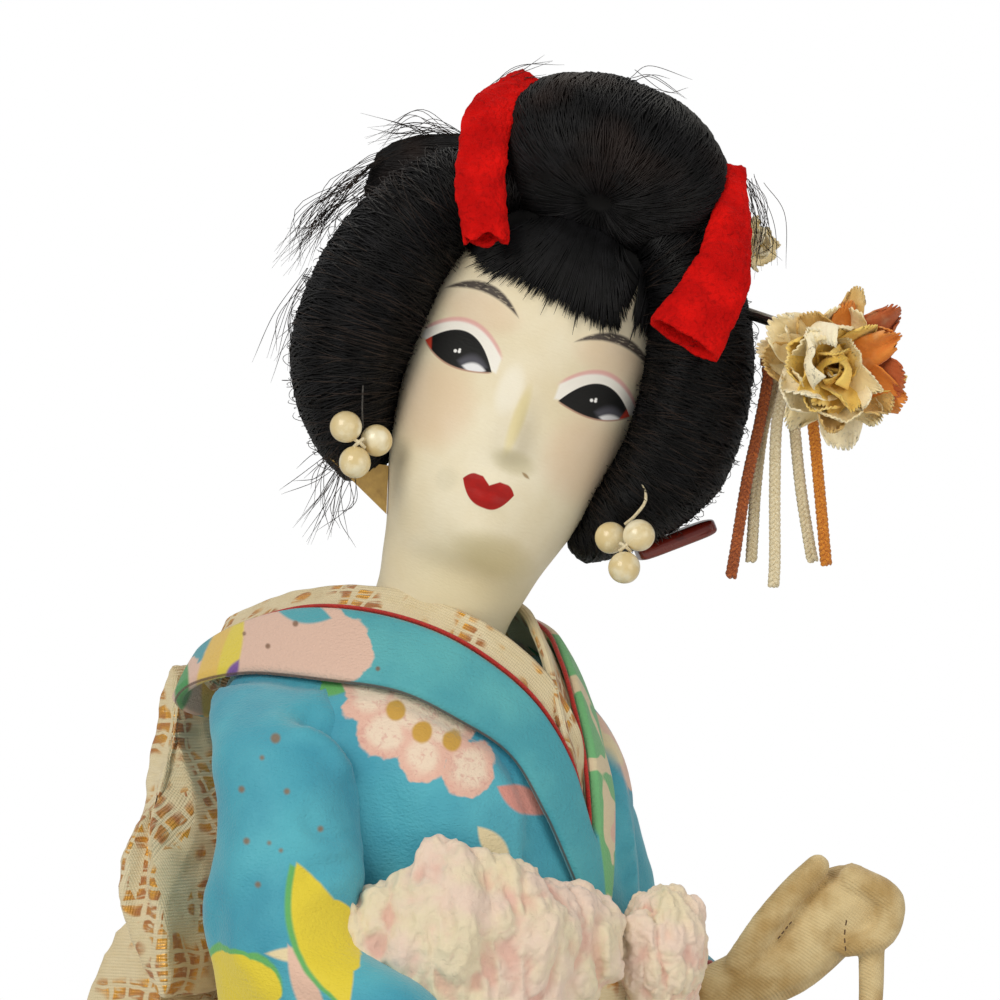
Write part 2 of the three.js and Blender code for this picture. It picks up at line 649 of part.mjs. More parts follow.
// Crumpled crepe scarf tucked over the sash, from under the right arm to the front, and its end puff
const SCARF_STEPS = 16;
const SCARF_FROM = 188;
const SCARF_ROUND = 80;
const scarfSections = Array.from({ length: SCARF_STEPS + 1 }, (_, i) => {
  const share = i / SCARF_STEPS;
  const turn = radians(SCARF_FROM + SCARF_ROUND * share);
  const [wide, front] = profile(FIGURE_ROWS, SCARF_HEIGHT);
  const taper = Math.sin(Math.PI * Math.min(0.94, share + 0.1)) ** 0.4;
  const swell = taper * (1 + 0.08 * Math.sin(21 * share));
  const out = point(Math.cos(turn), Math.sin(turn), 0);
  const centre = point((wide + 3) * out.x, (front + 3) * out.y, SCARF_HEIGHT);
  return Array.from({ length: 14 }, (_unused, j) => {
    const angle = (j / 14) * 2 * Math.PI;
    const lump = swell * (1 + 0.07 * Math.sin(3 * angle + 9 * share));
    return centre
      .clone()
      .addScaledVector(out, SCARF_BULGE * lump * Math.cos(angle))
      .add(point(0, 0, SCARF_HALF_HEIGHT * lump * Math.sin(angle)));
  });
});
const scarfNeighbours = [obiSpace, bodiceSpace, ...collarSpaces, ...sleeveSpaces];
add(figure, "obi_scarf", largest(cut(sweep(scarfSections), ...scarfNeighbours)), "crepe");
const puff = egg(point(7.7, -37, SCARF_HEIGHT - 2), point(8.5, 8, 11), 16, 10);
add(figure, "obi_scarf_puff", largest(cut(puff, ...scarfNeighbours)), "crepe");

// Hands: a stuffed palm with curled fingers, a thumb and one finger that points down.
// Each is built along +X from its wrist, with the thumb up, and turned on to the end of its wire.
function limb(rows, sides = 12) {
  const centres = rows.map(([x, y, z]) => point(x, y, z));
  const sections = rows.map(([, , , radius], i) => {
    const before = centres[Math.max(i - 1, 0)];
    const after = centres[Math.min(i + 1, rows.length - 1)];
    const along = after.clone().sub(before).normalize();
    const side = along.clone().cross(point(0, 1, 0)).normalize();
    const over = along.clone().cross(side).normalize();
    return Array.from({ length: sides }, (_, j) => {
      const turn = (j / sides) * 2 * Math.PI;
      return centres[i]
        .clone()
        .addScaledVector(side, radius * Math.cos(turn))
        .addScaledVector(over, radius * Math.sin(turn));
    });
  });
  return sweep(sections);
}

function hand() {
  const reach = HAND_LENGTH;
  const palm = limb([
    [0, 0, 0, WRIST_RADIUS],
    [0.25 * reach, 0, 2, 5.4],
    [0.55 * reach, 0, 6.5, 6.8],
    [0.8 * reach, 0, 10, 6.4],
    [0.96 * reach, 0, 9.5, 4.6],
    [1.02 * reach, 0, 8, 2],
  ]);
  const thumb = limb([
    [0.2 * reach, -3, 3.5, 2],
    [0.36 * reach, -5, 12, 2.2],
    [0.52 * reach, -5.5, 20, 1.9],
    [0.57 * reach, -5.5, 22.5, 1],
  ]);
  const finger = limb([
    [0.86 * reach, -1.5, 9, 2.6],
    [0.9 * reach, -1.5, 0, 2.3],
    [0.86 * reach, -1.5, -6, 1.9],
    [0.84 * reach, -1.5, -8.5, 0.9],
  ]);
  return join(palm, thumb, finger);
}

for (const [side, turn, rise] of [["right", -150, -22], ["left", -55, 0]]) {
  const reach = wrists[side].clone().sub(elbows[side]).normalize();
  const seat = wrists[side].clone().addScaledVector(reach, CUFF_LENGTH + GAP + 1.2);
  const place = new THREE.Matrix4()
    .makeTranslation(seat.x, seat.y, seat.z)
    .multiply(new THREE.Matrix4().makeRotationZ(radians(turn)))
    .multiply(new THREE.Matrix4().makeRotationY(radians(-rise)));
  const cuffFace = wrists[side].clone().addScaledVector(reach, CUFF_LENGTH + GAP);
  const cuffSpace = rod(cuffFace.clone().addScaledVector(reach, -12), cuffFace, 16, 20);
  const body = cut(moved(hand(), place), cuffSpace, ...wireHoles);
  add(figure, `${side}_hand`, largest(body), "glove");
}

// Head: half-width, front depth and back depth of the silk head and neck, up the neck's axis.
const HEAD_ROWS = [
  [-NECK_BELOW, NECK_RADIUS, NECK_RADIUS, NECK_RADIUS],
  [0, NECK_RADIUS, NECK_RADIUS, NECK_RADIUS],
  [5, 12, 11.2, 11.2],
  [9, 12.9, 14, 11.4],
  [14, 14.5, 16.2, 12],
  [20, 16.4, 17, 13],
  [28, 18, 17, 15.5],
  [38, 19, 16.2, 18],
  [47, 18.7, 16.4, 18.5],
  [56, 16.5, 14, 16.5],
  [63, 11.5, 9.5, 11],
  [67, 4, 3.5, 4],
];
const HEAD_HEIGHTS = [-NECK_BELOW, 0, 5, 9, 14, 20, 24, 27, 31, 37, 44, 51, 58, 63, 66];
const HEAD_SIDES = 26;
const NOSE_TIP = 27;
const NOSE_RISE = 3.4;
const NOSE_HALF_WIDTH = 2.6;

function headForm(grow, heights = HEAD_HEIGHTS) {
  const sections = heights.map((height) => {
    const [wide, front, back] = profile(HEAD_ROWS, height);
    const above = height - NOSE_TIP;
    const nose = NOSE_RISE * Math.exp(-((above / (above > 0 ? 7 : 2.5)) ** 2));
    return Array.from({ length: HEAD_SIDES }, (_, j) => {
      const turn = (j / HEAD_SIDES) * 2 * Math.PI;
      const x = (wide + grow) * Math.cos(turn);
      const depth = Math.sin(turn) < 0 ? front : back;
      const ridge = Math.sin(turn) < 0 ? nose * Math.exp(-((x / NOSE_HALF_WIDTH) ** 2)) : 0;
      return point(x, (depth + grow) * Math.sin(turn) - ridge, height);
    });
  });
  return sweep(sections);
}

const pegTop = PEG_IN_HEAD - NECK_BELOW;
const peg = rod(axisPoint(-NECK_BELOW - PEG_LENGTH), axisPoint(pegTop), PEG_RADIUS, 24);
const pegHole = rod(axisPoint(-NECK_BELOW - 1), axisPoint(pegTop + GAP), PEG_RADIUS + GAP, 24);
add(head, "neck_peg", peg, "wood");
add(head, "silk_head", cut(headForm(0), pegHole), "silkSkin");

// Wig: every mass is given as a form that can be grown, so that its neighbours are cut back from it.
const headSpace = headForm(GAP);
// Ribbon stations: the middle of the band and its half-width.
const RIBBON_ROUTES = {
  right: [
    [point(-14.5, -3, 82), 3.4],
    [point(-19, -9.5, 74.5), 4],
    [point(-17, -15.5, 64), 4],
    [point(-13, -19, 55.5), 3.6],
  ],
  left: [
    [point(19.5, -3, 80), 2],
    [point(22, -10, 71), 3.4],
    [point(23.2, -15.5, 62), 5],
    [point(22.2, -19, 53), 6],
  ],
};
function ribbon(side, grow) {
  const rows = RIBBON_ROUTES[side];
  const sections = rows.map(([centre, wide], i) => {
    const before = rows[Math.max(i - 1, 0)][0];
    const after = rows[Math.min(i + 1, rows.length - 1)][0];
    const along = after.clone().sub(before).normalize();
    const over = point(1, 0, 0).cross(along).normalize();
    const across = along.clone().cross(over).normalize();
    return Array.from({ length: 10 }, (_, j) => {
      const turn = (j / 10) * 2 * Math.PI;
      return centre
        .clone()
        .addScaledVector(across, (wide + grow) * Math.cos(turn))
        .addScaledVector(over, (RIBBON_THICKNESS / 2 + grow) * Math.sin(turn));
    });
  });
  return sweep(sections);
}

// Side roll stations, drawn for the left side: place, half-size across and half-depth.
const SIDE_ROLL = [
  [9, -1, 67, 4, 8],
  [18, 0, 62, 8, 14],
  [23.8, 1, 52, 9.8, 17],
  [26, 1, 40, 10.4, 17.5],
  [25.5, 1, 30, 9.6, 16],
  [21.5, 2, 21, 7.2, 12],
  [16.5, 4, 14.5, 3.5, 6],
];
const RIGHT_ROLL_FULLNESS = 1.05;
const LEFT_ROLL_FULLNESS = 0.97;
const sideRoll = (sign, grow) => {
  const fullness = sign < 0 ? RIGHT_ROLL_FULLNESS : LEFT_ROLL_FULLNESS;
  return roll(SIDE_ROLL.map(([x, ...rest]) => [sign * fullness * x, ...rest]), grow, 14);
};
const frontRoll = (grow) => egg(point(1, -3, 74), grown(point(20, 15, 14.3), grow), 18, 10);
const backHair = (grow) => egg(point(0, 11, 44), grown(point(32, 19, 30), grow), 16, 9);
const topKnot = (grow) => egg(point(-3, 15, 61), grown(point(33, 12, 14), grow), 18, 8);

// Flower pin: from the hair out to the back of the flower
const PIN_HEAD = point(43, -10.5, 59.5);
const pinAlong = point(-1, 0.6, 0).normalize();
const pinEnd = PIN_HEAD.clone().addScaledVector(pinAlong, PIN_LENGTH);
const pinSpace = rod(PIN_HEAD, pinEnd.clone().addScaledVector(pinAlong, GAP), PIN_RADIUS + SWING, 12);

const ribbonSpaces = [ribbon("right", GAP), ribbon("left", GAP)];
for (const side of ["right", "left"]) {
  add(head, `${side}_hair_ribbon`, cut(ribbon(side, 0), headSpace), "ribbon");
}
add(head, "front_hair_roll", largest(cut(frontRoll(0), headSpace, ...ribbonSpaces)), "hair");
const frontSpaces = [headSpace, ...ribbonSpaces, frontRoll(GAP)];

// Comb bar under the back hair, and the gilt card that lines the right side roll
const COMB_SIZE = point(14, 22, 2.6);
const COMB_LEAN = -41;
const combForm = (grow) => {
  const size = grown(COMB_SIZE, 2 * grow);
  const bar = new THREE.BoxGeometry(size.x, size.y, size.z);
  bar.rotateY(radians(COMB_LEAN));
  bar.translate(30.5, 10, 22.4);
  return solid(bar);
};
const combSpace = combForm(GAP);
add(head, "hair_comb", cut(combForm(0), headSpace), "comb");
const cardForm = (grow) =>
  plate([[-25 - grow, 15.5], [-13 + grow, 18 + grow], [-12.5 + grow, 9.8 - grow]], -3 - grow, -2 + grow);
add(head, "hair_card", largest(cut(cardForm(0), headSpace)), "card");
const ornamentSpaces = [combSpace, cardForm(GAP), pinSpace];

const rightRoll = cut(sideRoll(-1, 0), ...frontSpaces, ...ornamentSpaces);
const leftRoll = cut(sideRoll(1, 0), ...frontSpaces, ...ornamentSpaces, sideRoll(-1, GAP));
add(head, "right_hair_roll", largest(rightRoll), "hair");
add(head, "left_hair_roll", largest(leftRoll), "hair");
const rollSpaces = [...frontSpaces, ...ornamentSpaces, sideRoll(-1, GAP), sideRoll(1, GAP)];
add(head, "back_hair", largest(cut(backHair(0), ...rollSpaces)), "hair");
add(head, "top_knot", largest(cut(topKnot(0), ...rollSpaces, backHair(GAP))), "hair");

// Fringe: a thin curtain of hair on the forehead, from the parting down to a ragged edge
const FRINGE = [[-14, 52], [-8, 52.8], [-2, 52], [4, 51.2], [11, 50], [10, 58], [3, 69], [-8, 64]];
const FRINGE_THICKNESS = 1.4;
const fringeLayer = cut(headForm(GAP + FRINGE_THICKNESS), headSpace);
const fringe = fringeLayer.intersect(plate(FRINGE, -30, -3));
add(head, "fringe", largest(cut(fringe, ...rollSpaces.slice(1))), "hair");

// Blossoms: petals set in rings round a boss
function petal(length, width, lean) {
  const sections = [0, 0.35, 0.75, 1].map((share) => {
    const wide = width * Math.sin(Math.PI * (0.18 + 0.66 * share));
    const curl = lean * share * share;
    const thick = 0.8 - 0.3 * share;
    return [[-1, -1], [1, -1], [1, 1], [-1, 1]].map(([x, y]) =>
      point(wide * x, thick * y - curl, 1 + length * share),
    );
  });
  return sweep(sections);
}

function blossom(radius, rings) {
  const boss = egg(point(0, 0, 0), point(0.5 * radius, 0.42 * radius, 0.5 * radius), 12, 8);
  const petals = rings.flatMap(([count, reach, forward, lean], row) =>
    Array.from({ length: count }, (_, i) => {
      const spin = new THREE.Matrix4().makeRotationY(((i + 0.5 * row) / count) * 2 * Math.PI);
      spin.setPosition(0, -forward * radius, 0);
      return moved(petal(reach * radius, 0.36 * radius, lean * radius), spin);
    }),
  );
  return join(boss, ...petals);
}

const flowerPlace = new THREE.Matrix4().makeTranslation(45, -13.5, 55.5);
const flower = moved(blossom(FLOWER_RADIUS, [[7, 0.93, -0.1, 0.1], [5, 0.8, 0.15, 0.35]]), flowerPlace);
add(head, "flower", largest(cut(flower, pinSpace)), "petal");
add(head, "flower_pin", rod(PIN_HEAD, pinEnd, PIN_RADIUS, 12), "steel");
const blossomPlace = new THREE.Matrix4()
  .makeTranslation(26, 3, 70)
  .multiply(new THREE.Matrix4().makeRotationZ(radians(50)));
const smallBlossom = moved(blossom(BLOSSOM_RADIUS, [[5, 0.9, 0, 0.2]]), blossomPlace);
const hairSpaces = [...rollSpaces, backHair(GAP), topKnot(GAP)];
add(head, "small_blossom", largest(cut(smallBlossom, ...hairSpaces)), "petal");

// Tassel: braided cords that hang straight down from a wrapped knot under the pin
const hangFrom = PIN_HEAD.clone().addScaledVector(pinAlong, KNOT_ALONG_PIN).applyMatrix4(headToDoll);
const knotTop = hangFrom.z - KNOT_DROP;
const knotBody = new THREE.CylinderGeometry(1, 1, KNOT_TALL, 16).rotateX(Math.PI / 2);
knotBody.scale(KNOT_HALF_WIDTH, KNOT_HALF_DEPTH, 1);
knotBody.translate(hangFrom.x, hangFrom.y, knotTop - KNOT_TALL / 2);
const stemTop = hangFrom.clone().setZ(hangFrom.z - PIN_RADIUS - 2 * SWING);
const stem = rod(hangFrom.clone().setZ(knotTop - KNOT_TALL / 2), stemTop, STEM_RADIUS, 8);
add(doll, "tassel_knot", join(solid(knotBody), stem), "goldCord");
const cordTop = knotTop - KNOT_TALL - GAP;
// Each cord's place across and ahead of the knot, then points down its length.
const CORDS = [
  ["rust_cord", "rustCord", -2.9, -0.7, [[50.2, 340], [48.2, 331], [46.4, 320], [45.7, 316]]],
  ["cream_cord_1", "creamCord", -1.3, 1.5, [[51, 340], [49.8, 331], [49.2, 322], [49, 318.5]]],
  ["cream_cord_2", "creamCord", 0, -0.9, [[52.9, 340], [52.6, 330], [52.6, 319], [52.4, 314.6]]],
  ["cream_cord_3", "creamCord", 0.9, 1.5, [[55.8, 340], [56.8, 330], [58.2, 321], [58.7, 318.5]]],
  ["gold_cord", "goldCord", 2.9, -0.9, [[58.6, 340], [59.6, 330], [60.4, 321], [60.7, 318]]],
];
for (const [name, finish, aside, ahead, route] of CORDS) {
  const y = hangFrom.y + ahead;
  const start = point(hangFrom.x + aside, y, cordTop);
  const below = start.clone().setZ(cordTop - 2 * CORD_RADIUS);
  const points = [start, below, ...route.map(([x, z]) => point(x, y, z))];
  add(doll, name, tube(points, CORD_RADIUS, CORD_SIDES, 10), finish);
}

// Pearl drops: three beads round the end of a thread that leaves the hair
// Each thread's place, top and bottom, and the middle of each bead.
const DROPS = {
  right: {
    thread: [-12, -11.2, 346, 339.4],
    beads: [[-14.6, -13.4, 339.5], [-9.9, -11.2, 337.4], [-13.2, -13.4, 334]],
  },
  left: {
    thread: [28.9, -10.95, 332, 324.3],
    beads: [[31, -14.6, 322.6], [26.7, -11.6, 322.2], [28.7, -16, 317.6]],
  },
};
for (const [side, { thread, beads }] of Object.entries(DROPS)) {
  const [x, y, top, bottom] = thread;
  const strand = [point(x, y, top), point(x, y, (top + bottom) / 2), point(x, y, bottom)];
  add(doll, `${side}_drop_thread`, tube(strand, THREAD_RADIUS, CORD_SIDES, 4), "creamCord");
  beads.forEach(([bx, by, bz], i) => {
    const size = point(BEAD_RADIUS, BEAD_RADIUS, BEAD_RADIUS);
    add(doll, `${side}_drop_bead_${i + 1}`, egg(point(bx, by, bz), size, 10, 6), "pearl");
  });
}

export default root;
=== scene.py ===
# A standing geisha doll, dressed over its solid model: silk, brocade, hair, paint and cords.
# Shapes are drawn in millimetres in the model's own axes and become metres when a mesh is made.
import math
import bmesh
import bpy
import numpy as np
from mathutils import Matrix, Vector, noise


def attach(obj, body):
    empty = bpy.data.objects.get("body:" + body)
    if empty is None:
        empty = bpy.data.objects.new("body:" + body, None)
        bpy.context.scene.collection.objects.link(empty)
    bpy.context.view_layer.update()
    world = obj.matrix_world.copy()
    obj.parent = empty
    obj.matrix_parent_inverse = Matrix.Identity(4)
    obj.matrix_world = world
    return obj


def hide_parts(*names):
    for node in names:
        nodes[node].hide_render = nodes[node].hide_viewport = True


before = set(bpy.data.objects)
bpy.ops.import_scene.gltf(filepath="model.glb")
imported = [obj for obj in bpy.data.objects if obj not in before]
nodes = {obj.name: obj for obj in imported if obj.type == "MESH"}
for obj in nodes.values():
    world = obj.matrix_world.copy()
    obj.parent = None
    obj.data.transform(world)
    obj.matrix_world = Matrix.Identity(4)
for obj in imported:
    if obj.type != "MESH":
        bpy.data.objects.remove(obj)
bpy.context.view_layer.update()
MM = 0.001
scene = bpy.context.scene

# Camera: level with the doll's chin, at portrait distance. Its view is 156 mm wide at the face and takes
# in the doll from the top of its wig down to its sash.
VIEW_WIDTH = 156 * MM
VIEW_DISTANCE = 0.9
VIEW_CENTRE = (9.4 * MM, -12 * MM, 352.1 * MM)
camera_data = bpy.data.cameras.new("camera")
camera_data.sensor_width = 36
camera_data.lens = camera_data.sensor_width * VIEW_DISTANCE / VIEW_WIDTH
camera = bpy.data.objects.new("camera", camera_data)
camera.location = (VIEW_CENTRE[0], VIEW_CENTRE[1] - VIEW_DISTANCE, VIEW_CENTRE[2])
camera.rotation_euler = (math.radians(90), 0, 0)
scene.collection.objects.link(camera)
scene.camera = camera
scene.view_settings.view_transform = "Standard"


# Hair cords: five braided cords, three threads each, that hang from a wrapped knot on the flower pin.
# They are cut to slightly different lengths, and their ends are bare.
def srgb(red, green, blue):
    """A colour as it is seen, 0 to 255, in the linear values that a shader takes."""
    channels = [channel / 255 for channel in (red, green, blue)]
    linear = [c / 12.92 if c < 0.04045 else ((c + 0.055) / 1.055) ** 2.4 for c in channels]
    return (*linear, 1.0)


class Field:
    """A number or colour that changes over a surface: one output of a shader node."""

    def __init__(self, paint, socket):
        self.paint = paint
        self.socket = socket

    def maths(self, operation, *values):
        return self.paint.node("ShaderNodeMath", {"operation": operation}, values)

    def __add__(self, other):
        return self.maths("ADD", self, other)

    def __sub__(self, other):
        return self.maths("SUBTRACT", self, other)

    def __rsub__(self, other):
        return self.maths("SUBTRACT", other, self)

    def __mul__(self, other):
        return self.maths("MULTIPLY", self, other)

    def __truediv__(self, other):
        return self.maths("DIVIDE", self, other)

    def __pow__(self, other):
        return self.maths("POWER", self, other)

    def __abs__(self):
        return self.maths("ABSOLUTE", self)

    def least(self, other):
        return self.maths("MINIMUM", self, other)

    def most(self, other):
        return self.maths("MAXIMUM", self, other)

    def sine(self):
        return self.maths("SINE", self)

    def step(self, low, high):
        """0 below low, 1 above high and a smooth rise between; low may be the larger."""
        settings = {"interpolation_type": "SMOOTHSTEP"}
        if isinstance(low, (int, float)) and low > high:
            return 1 - self.paint.node("ShaderNodeMapRange", settings, [self, high, low, 0.0, 1.0])
        return self.paint.node("ShaderNodeMapRange", settings, [self, low, high, 0.0, 1.0])

    __radd__ = __add__
    __rmul__ = __mul__


class Paint:
    """One finish: a material, its shader and the fields that feed it."""

    def __init__(self, name):
        self.material = bpy.data.materials.new(name)
        self.material.use_nodes = True
        self.tree = self.material.node_tree
        self.shader = self.tree.nodes["Principled BSDF"]

    def feed(self, socket, value):
        if isinstance(value, Field):
            self.tree.links.new(value.socket, socket)
        else:
            socket.default_value = value

    def node(self, kind, settings=None, inputs=(), output=0):
        made = self.tree.nodes.new(kind)
        for name, value in (settings or {}).items():
            setattr(made, name, value)
        pairs = inputs.items() if isinstance(inputs, dict) else enumerate(inputs)
        for key, value in pairs:
            self.feed(made.inputs[key], value)
        return Field(self, made.outputs[output])

    def place(self):
        """The point on the object, in metres."""
        return self.node("ShaderNodeTexCoord", output="Object")

    def split(self, vector):
        """Three numbers of a vector."""
        parts = self.node("ShaderNodeSeparateXYZ", inputs=[vector]).socket.node
        return [Field(self, socket) for socket in parts.outputs]

    def millimetres(self):
        """X, Y and Z on the object, in millimetres."""
        return [part * (1 / MM) for part in self.split(self.place())]

    def cloth(self):
        """The place on the cloth, across and along it, in millimetres."""
        return self.split(self.node("ShaderNodeUVMap", {"uv_map": "cloth"}))[:2]

    def vector(self, x, y, z=0.0):
        return self.node("ShaderNodeCombineXYZ", inputs=[x, y, z])

    def noise(self, size, vector=None, detail=2.0, rough=0.5, warp=0.0, colour=False):
        """Cloudy noise whose lumps are about `size` across, in the vector's own units."""
        inputs = {"Scale": 1 / size, "Detail": detail, "Roughness": rough, "Distortion": warp}
        inputs["Vector"] = vector or self.place()
        return self.node("ShaderNodeTexNoise", None, inputs, "Color" if colour else 0)

    def cells(self, size, vector=None, feature="F1", spread=1.0, output="Distance", flat=False):
        settings = {"feature": feature, "voronoi_dimensions": "2D" if flat else "3D"}
        inputs = {"Scale": 1 / size, "Randomness": spread, "Vector": vector or self.place()}
        return self.node("ShaderNodeTexVoronoi", settings, inputs, output)

    def mix(self, share, first, second):
        inputs = {0: share, 6: first, 7: second}
        return self.node("ShaderNodeMix", {"data_type": "RGBA"}, inputs, 2)

    def finish(self, colour, roughness=0.8, height=None, depth=0.2, **constants):
        """Feeds the shader. `depth` is how many millimetres a height of 1 stands up."""
        self.feed(self.shader.inputs["Base Color"], colour)
        self.feed(self.shader.inputs["Roughness"], roughness)
        if height is not None:
            inputs = {"Strength": 1.0, "Distance": depth * MM, "Height": height}
            self.feed(self.shader.inputs["Normal"], self.node("ShaderNodeBump", None, inputs))
        for name, value in constants.items():
            socket = name.replace("_", " ").title().replace("Ior", "IOR")
            self.shader.inputs[socket].default_value = value
        return self


def unit(vectors):
    """Vectors of the same ways and of length 1."""
    return vectors / np.linalg.norm(vectors, axis=-1, keepdims=True)


def turns_round(count):
    """Angles evenly shared round a full turn."""
    return np.linspace(0, 2 * math.pi, count, endpoint=False)


def smooth_path(points, count):
    """Evenly shared points on a smooth curve through some points."""
    points = np.asarray(points, float)
    ends = np.vstack([2 * points[0] - points[1], points, 2 * points[-1] - points[-2]])
    place = np.linspace(0, len(points) - 1, count)
    span = np.minimum(place.astype(int), len(points) - 2)
    t = (place - span)[:, None]
    a, b, c, d = (ends[span + k] for k in range(4))
    return 0.5 * (2 * b + (c - a) * t + (2 * a - 5 * b + 4 * c - d) * t**2 + (3 * b - a - 3 * c + d) * t**3)


def strand_tree():
    """Node tree that turns every line of a mesh into a round strand of one radius and finish."""
    tree = bpy.data.node_groups.new("strands", "GeometryNodeTree")
    sockets = tree.interface
    sockets.new_socket("Lines", in_out="INPUT", socket_type="NodeSocketGeometry")
    sockets.new_socket("Radius", in_out="INPUT", socket_type="NodeSocketFloat")
    sockets.new_socket("Sides", in_out="INPUT", socket_type="NodeSocketInt")
    sockets.new_socket("Finish", in_out="INPUT", socket_type="NodeSocketMaterial")
    sockets.new_socket("Strands", in_out="OUTPUT", socket_type="NodeSocketGeometry")

    def add(kind, **links):
        made = tree.nodes.new(kind)
        for name, link in links.items():
            tree.links.new(link, made.inputs[name.replace("_", " ")])
        return made

    given = tree.nodes.new("NodeGroupInput").outputs
    curve = add("GeometryNodeMeshToCurve", Mesh=given["Lines"])
    ring = add("GeometryNodeCurvePrimitiveCircle", Resolution=given["Sides"], Radius=given["Radius"])
    thickness = add("GeometryNodeInputNamedAttribute")
    thickness.data_type = "FLOAT"
    thickness.inputs["Name"].default_value = "thickness"
    body = add(
        "GeometryNodeCurveToMesh",
        Curve=curve.outputs[0],
        Profile_Curve=ring.outputs[0],
        Scale=thickness.outputs[0],
    )
    body.inputs["Fill Caps"].default_value = True
    smooth = add("GeometryNodeSetShadeSmooth", Geometry=body.outputs[0])
    real = add("GeometryNodeRealizeInstances", Geometry=smooth.outputs[0])
    done = add("GeometryNodeSetMaterial", Geometry=real.outputs[0], Material=given["Finish"])
    tree.links.new(done.outputs[0], tree.nodes.new("NodeGroupOutput").inputs[0])
    return tree


STRANDS = strand_tree()


def link_piece(name, mesh):
    made = bpy.data.objects.new(name, mesh)
    scene.collection.objects.link(made)
    return made


def strands(name, lines, radius, paint, sides=3, taper=None):
    """A piece made of round strands along lines of [x, y, z] points, in millimetres."""
    counts = [len(line) for line in lines]
    starts = np.concatenate([[0], np.cumsum(counts)[:-1]])
    points = np.vstack(lines) * MM
    edges = [np.stack([np.arange(n - 1), np.arange(1, n)], 1) + s for n, s in zip(counts, starts)]
    mesh = bpy.data.meshes.new(name)
    mesh.from_pydata(points, np.vstack(edges).tolist(), [])
    shares = [np.ones(n) if taper is None else taper(np.linspace(0, 1, n)) for n in counts]
    mesh.attributes.new("thickness", "FLOAT", "POINT").data.foreach_set("value", np.concatenate(shares))
    host = link_piece(name + "_lines", mesh)
    modifier = host.modifiers.new("strands", "NODES")
    modifier.node_group = STRANDS
    values = {"Radius": radius * MM, "Sides": sides, "Finish": paint.material}
    for item in STRANDS.interface.items_tree:
        if item.in_out == "INPUT" and item.name in values:
            modifier[item.identifier] = values[item.name]
    bpy.context.view_layer.update()
    solid = bpy.data.meshes.new_from_object(host.evaluated_get(bpy.context.evaluated_depsgraph_get()))
    solid.name = name
    for extra in [a.name for a in solid.attributes if a.name == "thickness"]:
        solid.attributes.remove(solid.attributes[extra])
    bpy.data.objects.remove(host)
    return link_piece(name, solid)


def piece_of(body, slot, made, *replaced, fill=None):
    """Hangs a piece on its body and hides the solids that it stands for; `slot`, its finish, is not used."""
    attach(made, body)
    if replaced:
        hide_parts(*replaced)
    return made


def across_path(path):
    """Two unit directions square to a path at each of its points: the first lies nearest to X."""
    along = unit(np.gradient(path, axis=0))
    side = unit(np.array([1.0, 0, 0]) - along * along[:, :1])
    return side, np.cross(along, side)


def braid(path, width, turn_length, turned=0.0):
    """Three lines plaited along a path: each crosses from side to side as the others do."""
    side, over = across_path(path)
    steps = np.linalg.norm(np.diff(path, axis=0), axis=1)
    travel = np.concatenate([[0], np.cumsum(steps)]) * 2 * math.pi / turn_length + turned
    lines = []
    for start in turns_round(3):
        swing = np.sin(travel + start)[:, None] * width
        lift = np.sin(2 * (travel + start))[:, None] * width * 0.45
        lines.append(path + side * swing + over * lift)
    return lines


def thread_paint(name, dark, light):
    """Twisted thread: fuzzy fibres in uneven dye."""
    paint = Paint(name)
    fibre = paint.noise(0.25 * MM, detail=3.0)
    patch = paint.noise(2.5 * MM, detail=1.0)
    tone = paint.mix(fibre.step(0.3, 0.75) * 0.75 + patch * 0.25, dark, light)
    return paint.finish(tone, 0.75, fibre, 0.12, sheen_weight=0.3)


HANG = np.array([54.36, -4.13, 379.5])
KNOT_DROP = 4
KNOT_TALL = 2.4
KNOT_HALF_WIDTH, KNOT_HALF_DEPTH = 3.6, 2.2
KNOT_WRAPS = 5
WRAP_RADIUS = 0.5
CORD_GAP = 0.3
CORD_TOP = HANG[2] - KNOT_DROP - KNOT_TALL - CORD_GAP
CORD_DIAMETER = 2
CORD_POINTS = 240
THREAD_RADIUS = 0.43
PLAIT_LENGTH = 2.5
rust_thread = thread_paint("rust_thread", srgb(110, 42, 8), srgb(196, 104, 38))
cream_thread = thread_paint("cream_thread", srgb(204, 186, 144), srgb(246, 236, 208))
gold_thread = thread_paint("gold_thread", srgb(170, 88, 8), srgb(238, 156, 40))
# Each cord's thread, place across and ahead of the knot, and points down its length in X and Z.
CORDS = {
    "rust_cord": (rust_thread, -2.9, -0.7, [(50.2, 364), (48.2, 355), (46.4, 344), (45.7, 340)]),
    "cream_cord_1": (cream_thread, -1.3, 1.5, [(51, 364), (49.8, 355), (49.2, 346), (49, 342.5)]),
    "cream_cord_2": (cream_thread, 0, -0.9, [(52.9, 364), (52.6, 354), (52.6, 343), (52.4, 338.6)]),
    "cream_cord_3": (cream_thread, 0.9, 1.5, [(55.8, 364), (56.8, 354), (58.2, 345), (58.7, 342.5)]),
    "gold_cord": (gold_thread, 2.9, -0.9, [(58.6, 364), (59.6, 354), (60.4, 345), (60.7, 342)]),
}
for number, (node, (thread, aside, ahead, route)) in enumerate(CORDS.items()):
    x, y = HANG[0] + aside, HANG[1] + ahead
    points = [(x, y, CORD_TOP), (x, y, CORD_TOP - CORD_DIAMETER), *((px, y, pz) for px, pz in route)]
    path = smooth_path(points, CORD_POINTS)
    plait = braid(path, CORD_DIAMETER / 2 - THREAD_RADIUS, PLAIT_LENGTH, number)
    cord = strands(node + "_braid", plait, THREAD_RADIUS, thread, sides=6)
    piece_of("tassel", node.rstrip("_123"), cord, node)
    path[0] * MM
    path * MM
wrap = np.linspace(0, 1, 180)
wound = wrap * KNOT_WRAPS * 2 * math.pi
